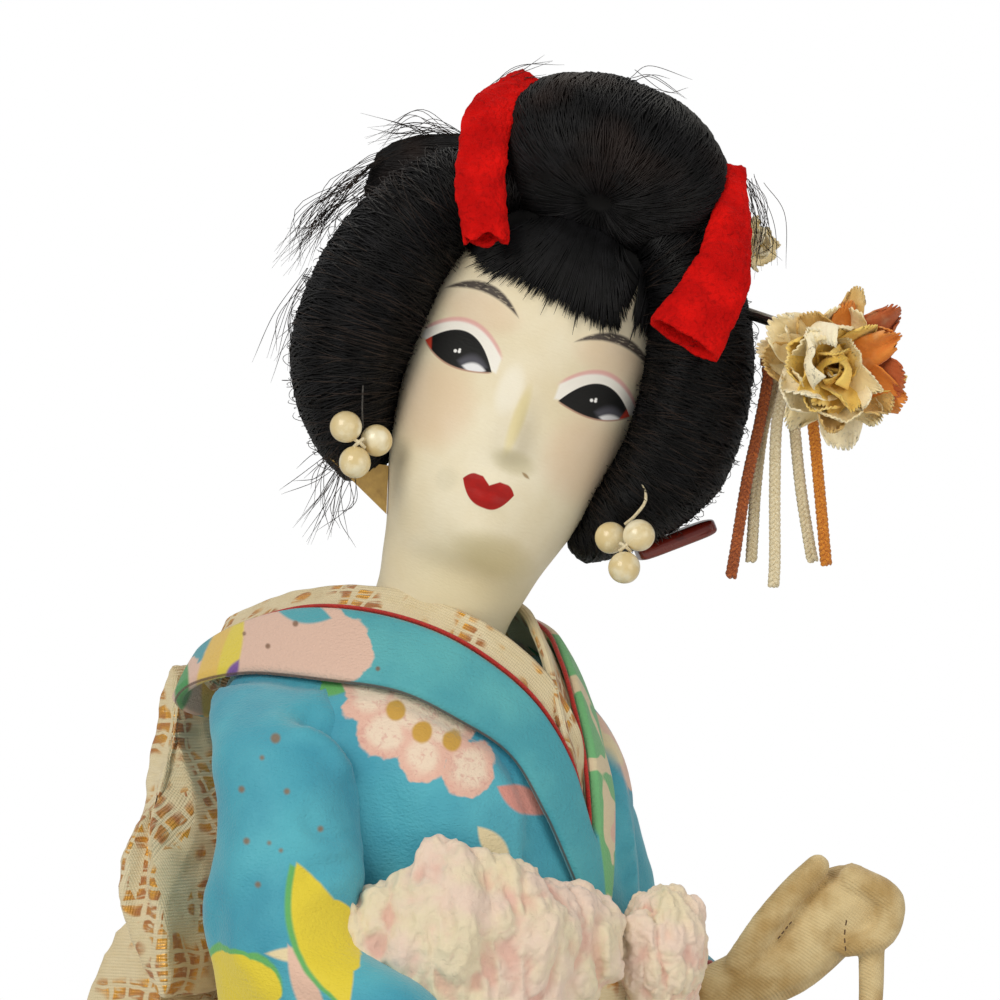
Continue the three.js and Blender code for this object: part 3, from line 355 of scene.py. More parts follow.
knot_line = np.stack(
    [
        HANG[0] + KNOT_HALF_WIDTH * np.cos(wound),
        HANG[1] + KNOT_HALF_DEPTH * np.sin(wound),
        HANG[2] - KNOT_DROP - CORD_GAP - (KNOT_TALL - 2 * CORD_GAP) * wrap,
    ],
    1,
)
stem_line = smooth_path([HANG + (0, 0, -1.4), HANG + (0.2, 0, -2.6), HANG + (0, 0, -4.6)], 12)
knot = strands("tassel_wrapping", [knot_line, stem_line], WRAP_RADIUS, gold_thread, sides=6)
piece_of("tassel", "gold_cord", knot, "tassel_knot")

# Room: a pale floor under the doll and soft daylight from the front, stronger from the viewer's left.
# Behind the doll there is nothing but white.
FLOOR_SIZE = 2.4
floor_mesh = bpy.data.meshes.new("floor")
corners = [(x * FLOOR_SIZE / 2, y * FLOOR_SIZE / 2, 0) for x, y in ((-1, -1), (1, -1), (1, 1), (-1, 1))]
floor_mesh.from_pydata(corners, [], [(0, 1, 2, 3)])
floor = link_piece("floor", floor_mesh)
floor_paint = Paint("pale_floor")
floor_mesh.materials.append(floor_paint.finish(srgb(232, 231, 228), 0.9).material)
AMBIENT = 0.36
world = bpy.data.worlds.new("daylight")
scene.world = world
world.use_nodes = True
sky = world.node_tree
seen = sky.nodes.new("ShaderNodeLightPath").outputs
level = sky.nodes.new("ShaderNodeMapRange")
level.inputs["To Min"].default_value = AMBIENT
sky.links.new(seen["Is Camera Ray"], level.inputs["Value"])
sky.links.new(level.outputs[0], sky.nodes["Background"].inputs["Strength"])
sky.nodes["Background"].inputs["Color"].default_value = (1, 1, 1, 1)
DAYLIGHT = (1.0, 0.96, 0.86)
LAMPS_AIM = Vector((0, 0, 0.33))
# Each lamp's place and width in metres, and its power in watts.
LAMPS = {
    "window": ((-0.75, -1.0, 1.05), 0.8, 10.5),
    "fill": ((0.95, -0.9, 0.55), 0.9, 4.8),
    "above": ((0.1, 0.55, 1.3), 0.8, 3.5),
}
for name, (place, width, power) in LAMPS.items():
    lamp = bpy.data.lights.new(name, "AREA")
    lamp.size = width
    lamp.energy = power
    lamp.color = DAYLIGHT
    holder = bpy.data.objects.new(name, lamp)
    holder.location = place
    holder.rotation_mode = "QUATERNION"
    holder.rotation_quaternion = (LAMPS_AIM - Vector(place)).to_track_quat("-Z", "Y")
    scene.collection.objects.link(holder)


# Board: black lacquer over wood, in two steps, with a steel rod that carries the figure. The sandals are
# lacquered too. Cotton socks, stuffed legs and padding stand over them, under the skirts.
def coat(mesh, paint):
    """Gives a mesh one finish all over."""
    mesh.materials.clear()
    mesh.materials.append(paint.material)


def dress(node, paint):
    """Gives a solid that stays in view its finish."""
    coat(nodes[node].data, paint)


def bake(host):
    """The mesh that a piece's modifiers make, as a plain piece of the same name."""
    bpy.context.view_layer.update()
    mesh = bpy.data.meshes.new_from_object(host.evaluated_get(bpy.context.evaluated_depsgraph_get()))
    host.modifiers.clear()
    host.data = mesh
    return host


def softened(name, node, paint, slot, voxel=1.2, rounds=6):
    """A stuffed piece over a node's own form: meshed evenly and eased smooth."""
    mesh = nodes[node].data.copy()
    mesh.materials.clear()
    shell = bmesh.new()
    shell.from_mesh(mesh)
    bmesh.ops.remove_doubles(shell, verts=shell.verts, dist=1e-6)
    shell.to_mesh(mesh)
    shell.free()
    made = link_piece(name, mesh)
    made.modifiers.new("even", "REMESH").voxel_size = voxel * MM
    ease = made.modifiers.new("ease", "SMOOTH")
    ease.iterations = rounds
    bake(made)
    made.data.shade_smooth()
    coat(made.data, paint)
    return piece_of("figure", slot, made, node, fill=0.9)


lacquer = Paint("black_lacquer")
dust = lacquer.noise(9 * MM, detail=4.0)
speck = lacquer.noise(0.7 * MM, detail=2.0)
lacquer.finish(
    lacquer.mix(dust.step(0.45, 0.8) * 0.5, srgb(22, 17, 15), srgb(52, 38, 31)),
    dust * 0.2 + 0.12,
    speck,
    0.01,
    coat_weight=0.4,
)
steel = Paint("plain_wire")
drawn = steel.noise(0.6 * MM, detail=4.0)
steel.finish(steel.mix(drawn, srgb(110, 108, 104), srgb(182, 180, 175)), drawn * 0.25 + 0.25, metallic=1.0)
for node in ("base_board", "right_zori", "left_zori"):
    dress(node, lacquer)
for node in ("support_rod", "right_arm_wire", "left_arm_wire", "flower_pin"):
    dress(node, steel)


def weave_paint(name, dark, light, pitch=0.4, roughness=0.85, **constants):
    """Plain cloth: over-and-under threads of one pitch, in millimetres, and soft stains."""
    paint = Paint(name)
    x, y, z = paint.millimetres()
    turn = 2 * math.pi / pitch
    threads = (x * turn).sine() * (z * turn).sine() + (y * turn).sine() * 0.5
    cloud = paint.noise(11 * MM, detail=3.0)
    grain = paint.noise(0.5 * MM, detail=2.0)
    tone = paint.mix(cloud.step(0.3, 0.75) * 0.7 + grain * 0.3, dark, light)
    return paint.finish(tone, roughness, threads * 0.5 + grain, 0.06, **constants)


white_cotton = weave_paint("white_cotton", srgb(196, 188, 170), srgb(236, 231, 220))
muslin = weave_paint("muslin", srgb(168, 138, 92), srgb(206, 180, 132), 0.8)
red_silk = weave_paint("red_silk", srgb(112, 12, 6), srgb(178, 30, 14), 0.35, 0.6, sheen_weight=0.4)
for side in ("right", "left"):
    softened(side + "_sock", side + "_tabi", white_cotton, "white_cotton", 0.8, 4)
    softened(side + "_stuffed_leg", side + "_leg", muslin, "wood_wool")
softened("skirt_stuffing", "skirt_padding", muslin, "wood_wool", 2.0, 4)
softened("body_stuffing", "body_core", muslin, "wood_wool", 1.6, 4)


# Skirts: a plain red silk under-skirt and the printed silk kimono over it, which is wrapped round the
# figure with the doll's left side over its right and tied at the waist. Both hang in soft folds.
FIGURE_TURN = math.radians(55)
FIGURE_BACK = 4
BOARD_TOP = 24
# Height above the board, half-width, front depth and back depth of the dressed figure.
FIGURE_ROWS = [
    (0, 60, 54, 62),
    (36, 44, 40, 44),
    (76, 38, 35, 37),
    (126, 37, 33, 36),
    (171, 38, 34, 37),
    (211, 34, 30, 32),
    (241, 33, 29, 30),
    (271, 35, 29.5, 31),
    (286, 36, 26, 34),
    (296, 31, 19, 37),
    (303, 22, 11, 36),
]


def in_figure(points):
    """Points in the doll's own turned axes, measured up from the board, moved into the model."""
    x, y, z = np.moveaxis(np.asarray(points, float), -1, 0)
    c, s = math.cos(FIGURE_TURN), math.sin(FIGURE_TURN)
    return np.stack([c * x - s * y, s * x + c * y + FIGURE_BACK, z + BOARD_TOP], -1)


def profile(rows, station):
    """A smooth curve through rows of [station, ...sizes], read at any stations: one array for each size."""
    rows = np.asarray(rows, float)
    marks, sizes = rows[:, 0], rows[:, 1:]
    after = np.minimum(np.arange(len(marks)) + 1, len(marks) - 1)
    before = np.maximum(np.arange(len(marks)) - 1, 0)
    slope = (sizes[after] - sizes[before]) / (marks[after] - marks[before])[:, None]
    station = np.clip(np.asarray(station, float), marks[0], marks[-1])
    i = np.clip(np.searchsorted(marks, station) - 1, 0, len(marks) - 2)
    span = (marks[i + 1] - marks[i])[..., None]
    t = (station - marks[i])[..., None] / span
    rise = sizes[i + 1] - sizes[i]
    leave, arrive = slope[i] * span, slope[i + 1] * span
    sizes = sizes[i] + t * (leave + t * (3 * rise - 2 * leave - arrive + t * (leave + arrive - 2 * rise)))
    return np.moveaxis(sizes, -1, 0)


def figure_surface(heights, turns, grow):
    """Points on the dressed figure, `grow` outside it, for arrays of heights and turns."""
    heights, turns, grow = np.broadcast_arrays(heights, turns, grow)
    half, front, back = profile(FIGURE_ROWS, heights)
    depth = np.where(np.sin(turns) < 0, front, back)
    return np.stack([(half + grow) * np.cos(turns), (depth + grow) * np.sin(turns), heights], -1)


def cloth_piece(name, grids, paint, around=False, capped=False):
    """A piece of rows and columns of points, in millimetres, with the place on the cloth as its UV."""
    points, faces, places = [], [], []
    for grid in grids if isinstance(grids, list) else [grids]:
        rows, columns = grid.shape[:2]
        start = sum(len(block) for block in points)
        points.append(grid.reshape(-1, 3))
        shut = np.concatenate([grid, grid[:, :1]], 1) if around else grid
        across = np.linalg.norm(np.diff(shut, axis=1), axis=2).mean(0)
        along = np.linalg.norm(np.diff(grid, axis=0), axis=2).mean(1)
        u = np.concatenate([[0], np.cumsum(across)])
        v = np.concatenate([[0], np.cumsum(along)])
        i, j = (a.ravel() for a in np.mgrid[: rows - 1, : shut.shape[1] - 1])
        k = (j + 1) % columns
        corners = [(i, j, j), (i, k, j + 1), (i + 1, k, j + 1), (i + 1, j, j)]
        faces += (np.stack([r * columns + c for r, c, _ in corners], 1) + start).tolist()
        places.append(np.stack([np.stack([u[e], v[r]], 1) for r, _, e in corners], 1).reshape(-1, 2))
        if capped:
            for row in (0, rows - 1):
                faces.append((np.arange(columns) + row * columns + start).tolist())
                places.append(np.stack([u[:columns], np.full(columns, v[row])], 1))
    mesh = bpy.data.meshes.new(name)
    mesh.from_pydata(np.vstack(points) * MM, [], faces)
    mesh.uv_layers.new(name="cloth").data.foreach_set("uv", np.vstack(places).ravel())
    shell = bmesh.new()
    shell.from_mesh(mesh)
    if around:
        bmesh.ops.remove_doubles(shell, verts=shell.verts, dist=1e-6)
    bmesh.ops.recalc_face_normals(shell, faces=shell.faces)
    shell.to_mesh(mesh)
    shell.free()
    mesh.shade_smooth()
    mesh.materials.append(paint.material)
    return link_piece(name, mesh)


def read_points(made, what="co"):
    """Every point of a piece, or the way out of its surface there."""
    values = np.empty(3 * len(made.data.vertices))
    made.data.vertices.foreach_get(what, values)
    return values.reshape(-1, 3)


def move_points(made, points):
    made.data.vertices.foreach_set("co", points.ravel())
    made.data.update()
    return made


def rumple(made, size, depth, form="soft", seed=0, turns=3, squeeze=(1, 1, 1)):
    """Crumples a piece along its normals: in soft lumps, in sharp ridges or in puffs between creases.

    `size` is that of a lump in millimetres, and `squeeze` makes it narrower along an axis."""
    points, ways = read_points(made), read_points(made, "normal")
    spots = points * squeeze / (size * MM) + (7.3 * seed, 3.1 * seed, 1.7 * seed)
    lump = np.array([sum(noise.noise(spot * 2**k) / 2**k for k in range(turns)) for spot in spots])
    share = {"soft": lump, "ridged": 0.5 - 2.2 * abs(lump), "puffed": 2.2 * abs(lump) - 0.6}[form]
    return move_points(made, points + ways * (depth * MM * share)[:, None])


def thicken(made, wall, lining=None):
    """Gives a sheet its thickness, inwards, with another finish for its lining if it has one."""
    solid = made.modifiers.new("wall", "SOLIDIFY")
    solid.thickness = wall * MM
    solid.offset = -1
    if lining:
        made.data.materials.append(lining.material)
        solid.material_offset = 1
        solid.material_offset_rim = 1
    return bake(made)


PRINT_PINK = srgb(230, 192, 172)
PRINT_ROSE = srgb(222, 150, 138)
PRINT_CREAM = srgb(232, 214, 172)
PRINT_GOLD = srgb(206, 160, 66)
PRINT_GREEN = srgb(98, 178, 98)
PRINT_YELLOW = srgb(230, 208, 48)


def scattered_print(paint, ground):
    """Loose flowers and leaves on the cloth: one in each cell of an uneven net."""
    u, v = paint.cloth()
    spot = paint.vector(u, v)
    centre = paint.split(paint.cells(46.0, spot, output="Position", flat=True, spread=0.75))
    kind = paint.split(paint.cells(46.0, spot, output="Color", flat=True, spread=0.75))[0]
    x, y = u - centre[0], v - centre[1]
    reach = (x * x + y * y) ** 0.5
    turn = x.maths("ARCTAN2", y, x)
    petals = reach / (abs((turn * 2.5).sine()) * 4 + 9.5)
    sprig = (x - 13) / 11
    leaf = (sprig * sprig + ((y + x * 0.5) / 5) ** 2.0) ** 0.5
    leafy = leaf.step(1.02, 0.98)
    colour = paint.mix(leafy, ground, paint.mix(kind.step(0.55, 0.56), PRINT_GREEN, PRINT_YELLOW))
    flower = petals.step(1.01, 0.98)
    bloom = paint.mix(kind.step(0.3, 0.31), PRINT_CREAM, PRINT_PINK)
    bloom = paint.mix(petals.step(0.62, 0.5), bloom, PRINT_CREAM)
    bloom = paint.mix(petals.step(0.95, 1.0) * 0.6, bloom, PRINT_ROSE)
    bloom = paint.mix(reach.step(2.3, 2.1), bloom, PRINT_GOLD)
    return paint.mix(flower, colour, bloom)


def silk_ground(paint):
    """Turquoise silk with the uneven tone of old dye."""
    cloud = paint.noise(16 * MM, detail=3.0)
    return paint.mix(cloud.step(0.25, 0.8), srgb(48, 148, 176), srgb(84, 182, 200))


def crepe_height(paint, size=0.42):
    """The fine grain of silk crepe: uneven twisted threads."""
    x, y, z = paint.millimetres()
    twist = paint.noise(size, paint.vector(x * 0.5, y * 0.8, z * 1.2), detail=1.0)
    return paint.noise(size * MM, detail=2.0) + twist


def silk_finish(paint, colour):
    """The dull sheen and grain of the kimono's crepe."""
    return paint.finish(colour, 0.62, crepe_height(paint), 0.13, sheen_weight=0.25)


def silk_paint(name, printed):
    """Turquoise crepe with one of the kimono's prints on it."""
    paint = Paint(name)
    return silk_finish(paint, printed(paint, silk_ground(paint)))


kimono_silk = silk_paint("printed_silk", scattered_print)
HEM = 1
HEM_LIFT = 10
WAIST = 227
LAP_UNDER, LAP_OVER = 0.6, 0.55
PLEATS = 9
SNUG_HEIGHT = 171


def skirt_grid(top, grow, pleat, lap, rows=70, columns=320):
    """A wrapped skirt: from its inner edge round the figure to the outer edge that laps over it."""
    share = np.linspace(0, 1, rows)[:, None]
    sweep = np.linspace(0, 2 * math.pi + lap * (LAP_UNDER + LAP_OVER), columns)[None, :]
    turns = -math.pi / 2 + lap * LAP_UNDER - sweep
    front = np.maximum(0, -np.sin(turns)) ** 4
    heights = HEM + (top - HEM) * share + HEM_LIFT * front * (1 - share) ** 4
    slack = 1 - 0.8 * np.minimum(1, heights / SNUG_HEIGHT)
    folds = np.cos(PLEATS * turns) + 0.45 * np.cos(5 * turns + 1 + share) + 0.25 * np.cos(17 * turns)
    under = -0.9 * lap * (1 - np.clip(sweep / (LAP_UNDER + LAP_OVER), 0, 1)) ** 0.5
    return in_figure(figure_surface(heights, turns, grow + pleat * folds * slack + under))


under_skirt = cloth_piece("red_under_skirt", skirt_grid(170.5, -4.6, 0.5, 0, 40, 180), red_silk)
thicken(under_skirt, 0.8)
piece_of("figure", "red_silk", under_skirt, "under_skirt")
skirt = cloth_piece("wrapped_kimono_skirt", skirt_grid(WAIST, -0.3, 1.5, 1), kimono_silk)
thicken(skirt, 0.9, red_silk)
piece_of("figure", "kimono_silk", skirt, "kimono_skirt")


# Bodice and sleeves: the same printed silk, padded over the shoulders. A large peony is printed on the
# breast and leaves on the sleeve. The sleeves hang as long bags, and their folds run down from the arm.
def blot(x, z, lobes, soft=0.35, ragged=None):
    """Share covered by round lobes of [x, z, radius], seen from the front, in millimetres."""
    cover = None
    for cx, cz, radius in lobes:
        dx, dz = x - cx, z - cz
        away = (dx * dx + dz * dz) ** 0.5
        if ragged:
            away = away + ragged
        lobe = away.step(radius + soft, radius - soft)
        cover = lobe if cover is None else cover.most(lobe)
    return cover


def streak(x, z, start, end, wide, soft=0.3):
    """Share covered by a leaf that tapers from its middle to both its ends."""
    length = math.dist(start, end)
    ux, uz = (end[0] - start[0]) / length, (end[1] - start[1]) / length
    along = ((x - start[0]) * ux + (z - start[1]) * uz) / length
    across = abs((x - start[0]) * uz - (z - start[1]) * ux)
    swell = (along * (1 - along) * 4).most(-1.0) * wide
    return (swell - across).step(-soft, soft)


def leaves(paint, x, z, colour, rows):
    """Lays leaves of [start, end, half-width, dye] over a colour."""
    for start, end, wide, dye in rows:
        colour = paint.mix(streak(x, z, start, end, wide), colour, dye)
    return colour


# The print on the breast: petals and hearts of a peony as [x, z, radius], and the leaves round it.
PEONY = [
    *[(-10.6, 322.2, 4.6), (-4.6, 320, 5.4), (0.8, 317.6, 5)],
    *[(4.6, 311, 4.2), (-2.4, 313, 4.2), (-8.2, 316.4, 4.6)],
]
PEONY_HEARTS = [(-6.7, 319.7, 1.5), (-2.6, 316.4, 1.6), (2, 315, 1.5)]
PEONY_LEAVES = [
    ((-24, 326.4), (-14.6, 322.4), 2.5, PRINT_GREEN),
    ((9, 308), (17, 303.4), 1.9, PRINT_ROSE),
    ((6, 302), (11, 296), 1.6, PRINT_CREAM),
]


def breast_print(paint, ground):
    """The peony on the breast, and loose flowers on the side and back."""
    x, y, z = paint.millimetres()
    ragged = (paint.noise(4 * MM, detail=3.0) - 0.5) * 3.4
    cover = blot(x, z, PEONY, 0.25, ragged)
    inner = blot(x, z, [(cx, cz, r * 0.62) for cx, cz, r in PEONY], 1.0, ragged)
    brush = paint.noise(1.1 * MM, detail=3.0, warp=1.0)
    bloom = paint.mix(inner, srgb(232, 186, 168), srgb(240, 218, 196))
    bloom = paint.mix(brush.step(0.5, 0.75) * 0.6, bloom, srgb(214, 150, 140))
    bloom = paint.mix(blot(x, z, PEONY_HEARTS, 0.3, ragged * 0.3), bloom, PRINT_GOLD)
    colour = leaves(paint, x, z, paint.mix(cover, ground, bloom), PEONY_LEAVES)
    return paint.mix(y.step(6, 3), scattered_print(paint, ground), colour)


def ring_path(points, count):
    """Evenly shared points on a smooth closed curve through some points."""
    fine = 200
    points = np.asarray(points, float)
    wrapped = np.vstack([points[-2:], points, points[:3]])
    steps = np.linspace(0, len(points), count, endpoint=False) + 2
    whole = smooth_path(wrapped, (len(wrapped) - 1) * fine + 1)
    return whole[np.round(steps * fine).astype(int)]


# Station by station round the right half of the neck: the collar's upper and lower edge.
COLLAR_STATIONS = [
    ((0, -29, 276), (0, -30.5, 262)),
    ((-2.5, -26.8, 287), (-9, -26.5, 279)),
    ((-5.5, -22.5, 296), (-12.5, -22, 288.5)),
    ((-10, -17, 302.5), (-18.6, -16, 294.2)),
    ((-15, -10, 307.5), (-24.2, -9, 298.4)),
    ((-17.5, 1, 310.5), (-27.4, 2.4, 300)),
    ((-18, 14, 311), (-27, 17.8, 300.8)),
    ((-17.5, 27, 308), (-23.4, 31.6, 298.8)),
    ((-13, 38, 303.5), (-15.5, 41, 295)),
    ((0, 42, 301), (0, 44.5, 292.5)),
]
COLLAR_THICKNESS, INNER_THICKNESS = 1.8, 1.6
COLLAR_GAP = 0.4
INNER_FACE = -COLLAR_THICKNESS / 2 - COLLAR_GAP
INNER_SHOWS, INNER_TUCK = 7, 4
PIPING_RADIUS = 0.5
COLLAR_STEPS = 300


def collar_ring(edge):
    """One edge of the collar all the way round: the stations on the right, then their mirror image."""
    right = [station[edge] for station in COLLAR_STATIONS]
    left = [(-x, y, z) for x, y, z in right[-2:0:-1]]
    return ring_path(right + left, COLLAR_STEPS)


upper, lower = collar_ring(0), collar_ring(1)
down = lower - upper
collar_width = np.linalg.norm(down, axis=1)
down /= collar_width[:, None]
along = np.roll(upper, -1, 0) - np.roll(upper, 1, 0)
outward = unit(np.cross(along, down))


def under_collar(points, lift=0.0):
    """Presses cloth in where the collars lie over it, and lets it rise again past their lower edge."""
    flat = points.reshape(-1, 3)
    middle = upper + 0.5 * collar_width[:, None] * down
    nearest = np.argmin(((flat[:, None] - middle[None]) ** 2).sum(2), 1)
    away = flat - upper[nearest]
    run = (away * down[nearest]).sum(1)
    out = (away * outward[nearest]).sum(1)
    limit = np.where(run < INNER_TUCK + 0.8, INNER_FACE - INNER_THICKNESS, -COLLAR_THICKNESS / 2) - 0.5
    limit = limit + lift + np.maximum(0, run - collar_width[nearest] - 0.6) * 1.1
    proud = np.maximum(0, out - limit) * (run > -9)
    return (flat - proud[:, None] * outward[nearest]).reshape(points.shape)


BODICE_TOP = 303
bodice_silk = silk_paint("breast_silk", breast_print)
rise = np.linspace(WAIST + 0.3, BODICE_TOP, 70)[:, None]
turns = turns_round(200)[None, :]
# Soft creases run down from the shoulders to the sash.
creases = 0.5 * np.sin(11 * turns + 0.05 * rise) * np.exp(-(((rise - 262) / 16) ** 2))
# Under each arm the cloth is drawn in to the armhole.
armhole = np.exp(-(((rise - 274) / 20) ** 2)) * np.exp(-(((np.abs(np.cos(turns)) - 0.92) / 0.1) ** 2))
bodice_shell = figure_surface(rise, turns, creases - 3.9 * armhole)
shoulder_rim = bodice_shell[-1:]
for drawn_in in (0.75, 0.5, 0.36):
    rim = shoulder_rim * (drawn_in, drawn_in, 1) + (0, 4 * (1 - drawn_in), 0.6 * (1 - drawn_in))
    bodice_shell = np.concatenate([bodice_shell, rim])
bodice_shell = under_collar(bodice_shell)
bodice = cloth_piece("printed_bodice", in_figure(bodice_shell), bodice_silk, around=True, capped=True)
rumple(bodice, 14, 0.5, seed=3)
piece_of("figure", "kimono_silk", bodice, "kimono_bodice", fill=0.8)

# Height, distance out, distance forward, half-thickness and half-depth of a sleeve.
SLEEVE_ROWS = [
    (150, 39, 9, 6.5, 24),
    (185, 39, 9, 7, 22),
    (225, 39.5, 9, 8, 22),
    (250, 40, 8, 9.5, 20),
    (261, 40, 0, 11.5, 14),
    (278, 37.6, -1.5, 11.2, 11),
    (290, 34.4, -5.5, 10.6, 11),
    (297, 28.5, -11, 8.8, 11),
    (302, 21, -14, 6.4, 8),
]
SLEEVE_BOTTOM, SLEEVE_TOP = SLEEVE_ROWS[0][0], SLEEVE_ROWS[-1][0]
ELBOWS = {"right": np.array([-42, 4, 238.0]), "left": np.array([43, 6, 236.0])}
WRISTS = {"right": np.array([-37, -24, 216.0]), "left": np.array([34.5, -26.5, 247.5])}
REACHES = {side: unit(WRISTS[side] - ELBOWS[side]) for side in WRISTS}
CUFF_RADIUS = 6.4
CUFF_LENGTH = 3
HAND_ROOM = 3.8
SLEEVE_MOUTH = (-0.3, 60)  # from and to, past the wrist
SLEEVE_LEAVES = [
    ((-26, 283.6), (-17, 283.4), 1.1, PRINT_CREAM),
    ((-22.6, 285), (-16.4, 270), 1.9, PRINT_PINK),
]
BROAD_LEAF = [(-27.4, 278.6, 3.7), (-31.6, 278.6, 4.7), (-33.4, 273.6, 5.2), (-28.6, 273.2, 4.4)]
SLEEVE_SPOTS = [
    *[(-24.9, 315.7, 0.75), (-26.9, 312.8, 0.35), (-30, 308, 0.5), (-23, 307.8, 0.45), (-17.9, 302.1, 0.45)],
    *[(-29.1, 300.3, 0.5), (-25.6, 300.1, 0.3), (-23.8, 299, 0.3), (-27.3, 293.8, 0.45)],
]


def sleeve_print(paint, ground):
    """Long yellow leaves with green edges, low on the right arm, and old brown spots above them."""
    x, y, z = paint.millimetres()
    ragged = (paint.noise(5 * MM, detail=2.0) - 0.5) * 2.2
    colour = leaves(paint, x, z, ground, SLEEVE_LEAVES)
    edge = blot(x + 0.4, z - 0.5, [(cx, cz, r + 0.6) for cx, cz, r in BROAD_LEAF], 0.25, ragged)
    colour = paint.mix(edge, colour, PRINT_GREEN)
    colour = paint.mix(blot(x, z, BROAD_LEAF, 0.2, ragged), colour, PRINT_YELLOW)
    for aside, dye in ((-1.0, PRINT_GREEN), (0, PRINT_YELLOW)):
        leaf = streak(x - aside, z + ragged * 0.7, (-21.4, 297), (-13.4, 275.6), 3.9)
        shoulder = blot(x - aside, z, [(-16, 288.4, 3), (-14.4, 283.4, 2.8)], 0.2, ragged)
        colour = paint.mix(leaf.most(shoulder), colour, dye)
    colour = paint.mix(blot(x, z, SLEEVE_SPOTS, 0.3) * 0.8, colour, srgb(136, 94, 44))
    return paint.mix(y.step(8, 5), scattered_print(paint, ground), colour)


def sleeve_surface(sign, rows=210, columns=150):
    """A sleeve from its lower edge up to the shoulder; the right one has sign -1."""
    height = SLEEVE_BOTTOM + (SLEEVE_TOP - SLEEVE_BOTTOM) * np.linspace(0, 1, rows)[:, None] ** 0.9
    turn = turns_round(columns)[None, :]
    out, forward, thick, deep = profile(SLEEVE_ROWS, height[:, 0])[..., None]
    hang = np.clip((285 - height) / 120, 0, 1) ** 1.3
    fold = 2.0 * hang * np.sin(3 * math.pi * np.cos(turn) + 0.4 * np.sin(height / 17))
    # Creases gather at the bend of the arm and under the shoulder.
    pinch = np.exp(-(((height - 272 - 7 * np.cos(turn)) / 5) ** 2)) * np.maximum(0, -np.cos(turn - 0.7))
    ripple = 0.7 * np.sin(height / 3.1 + 4 * np.cos(turn)) * np.exp(-(((height - 262) / 13) ** 2))
    girth = 1 - 0.08 * pinch
    x = sign * (out + fold + (thick * girth + ripple) * np.sin(turn))
    y = -forward + (deep * girth + ripple) * np.cos(turn)
    return under_collar(np.stack([x, y, height + 0 * turn], -1), 0.3)


def pressed(made, line, depth, wide):
    """Presses a crease into a piece along a line of [X, Z] on its front, with a soft lip under it."""
    points, ways = read_points(made), read_points(made, "normal")
    steps = 40
    path = smooth_path(line, steps)
    apart = points[:, None, [0, 2]] / MM - path[None]
    nearest = np.argmin((apart**2).sum(2), 1)
    apart = apart[np.arange(len(points)), nearest]
    away = np.linalg.norm(apart, axis=1)
    ends = np.clip(np.minimum(nearest, steps - 1 - nearest) / 9 + 0.2, 0, 1) * (ways[:, 1] < 0.2)
    lip = 0.5 * np.exp(-(((away - 2 * wide) / wide) ** 2)) * (apart[:, 1] < 0)
    press = (np.exp(-((away / wide) ** 2)) - lip) * ends * depth * MM
    return move_points(made, points - ways * press[:, None])


def carve(made, cutter):
    """Takes another piece's form out of a piece."""
    cut = made.modifiers.new("cut", "BOOLEAN")
    cut.operation = "DIFFERENCE"
    cut.object = cutter
    bake(made)
    bpy.data.objects.remove(cutter)
    return made


def round_bar(name, start, end, radius, paint, sides=48):
    """A plain round bar between two points of the figure, to cut with or to build on."""
    along = np.array([start, end])
    axis = unit(end - start)
    side = unit(np.cross(axis, (0, 0, 1.0)))
    over = np.cross(axis, side)
    turn = turns_round(sides)
    ring = np.cos(turn)[:, None] * side + np.sin(turn)[:, None] * over
    grid = in_figure(along[:, None, :] + radius * ring[None])
    return cloth_piece(name, grid, paint, around=True, capped=True)


SLEEVE_SILKS = {"right": silk_paint("sleeve_silk", sleeve_print), "left": kimono_silk}
# Creases of [line, depth, half-width] that the arm presses into its sleeve.
SLEEVE_CREASES = {
    "right": [
        ([(-23, 319.2), (-19, 318.6), (-15.2, 316.4), (-12.4, 312.6), (-11.4, 309.6)], 2.2, 1.2),
        ([(-21, 304), (-17, 301.4), (-13, 300.4)], 0.6, 1.2),
        ([(-24, 292), (-18, 296), (-13, 297)], 0.5, 1.4),
    ],
    "left": [],
}
SIDES = {"right": -1, "left": 1}
for side, sign in SIDES.items():
    form = in_figure(sleeve_surface(sign))
    sleeve = cloth_piece(side + "_silk_sleeve", form, SLEEVE_SILKS[side], around=True, capped=True)
    rumple(sleeve, 13, 0.6, seed=5 + sign)
    for crease in SLEEVE_CREASES[side]:
        pressed(sleeve, *crease)
    sleeve.data.materials.append(red_silk.material)
    start, end = (WRISTS[side] + past * REACHES[side] for past in SLEEVE_MOUTH)
    carve(sleeve, round_bar("sleeve_mouth", start, end, CUFF_RADIUS + HAND_ROOM, red_silk))
    piece_of("figure", "kimono_silk", sleeve, side + "_sleeve", fill=0.6)


# Cuffs and hands: a gathered dark red cuff closes each sleeve. The hands are fine knit silk, stuffed and
# stitched over wire, with the fingers curled, the thumb up and one finger pointing down.
def knit_paint():
    """Soiled fine knit: slanting ribs with loops across them."""
    paint = Paint("knit_silk")
    x, y, z = paint.millimetres()
    pull = paint.noise(7 * MM, detail=2.0) * 2.2
    ribs = ((x * 0.55 + z * 0.83 + y * 0.3) * (2 * math.pi / 0.48) + pull).sine()
    loops = ((x * 0.83 - z * 0.55 + y) * (2 * math.pi / 0.5)).sine()
    soil = paint.noise(6 * MM, detail=4.0)
    smudge = paint.noise(2.4 * MM, detail=3.0)
    tone = paint.mix(soil.step(0.3, 0.72), srgb(182, 150, 94), srgb(222, 200, 152))
    tone = paint.mix((ribs * 0.5 + 0.5) * 0.07, tone, srgb(140, 108, 56))
    tone = paint.mix(smudge.step(0.66, 0.82) * 0.3, tone, srgb(120, 86, 42))
    return paint.finish(tone, 0.85, ribs + loops * 0.35, 0.03, sheen_weight=0.2)


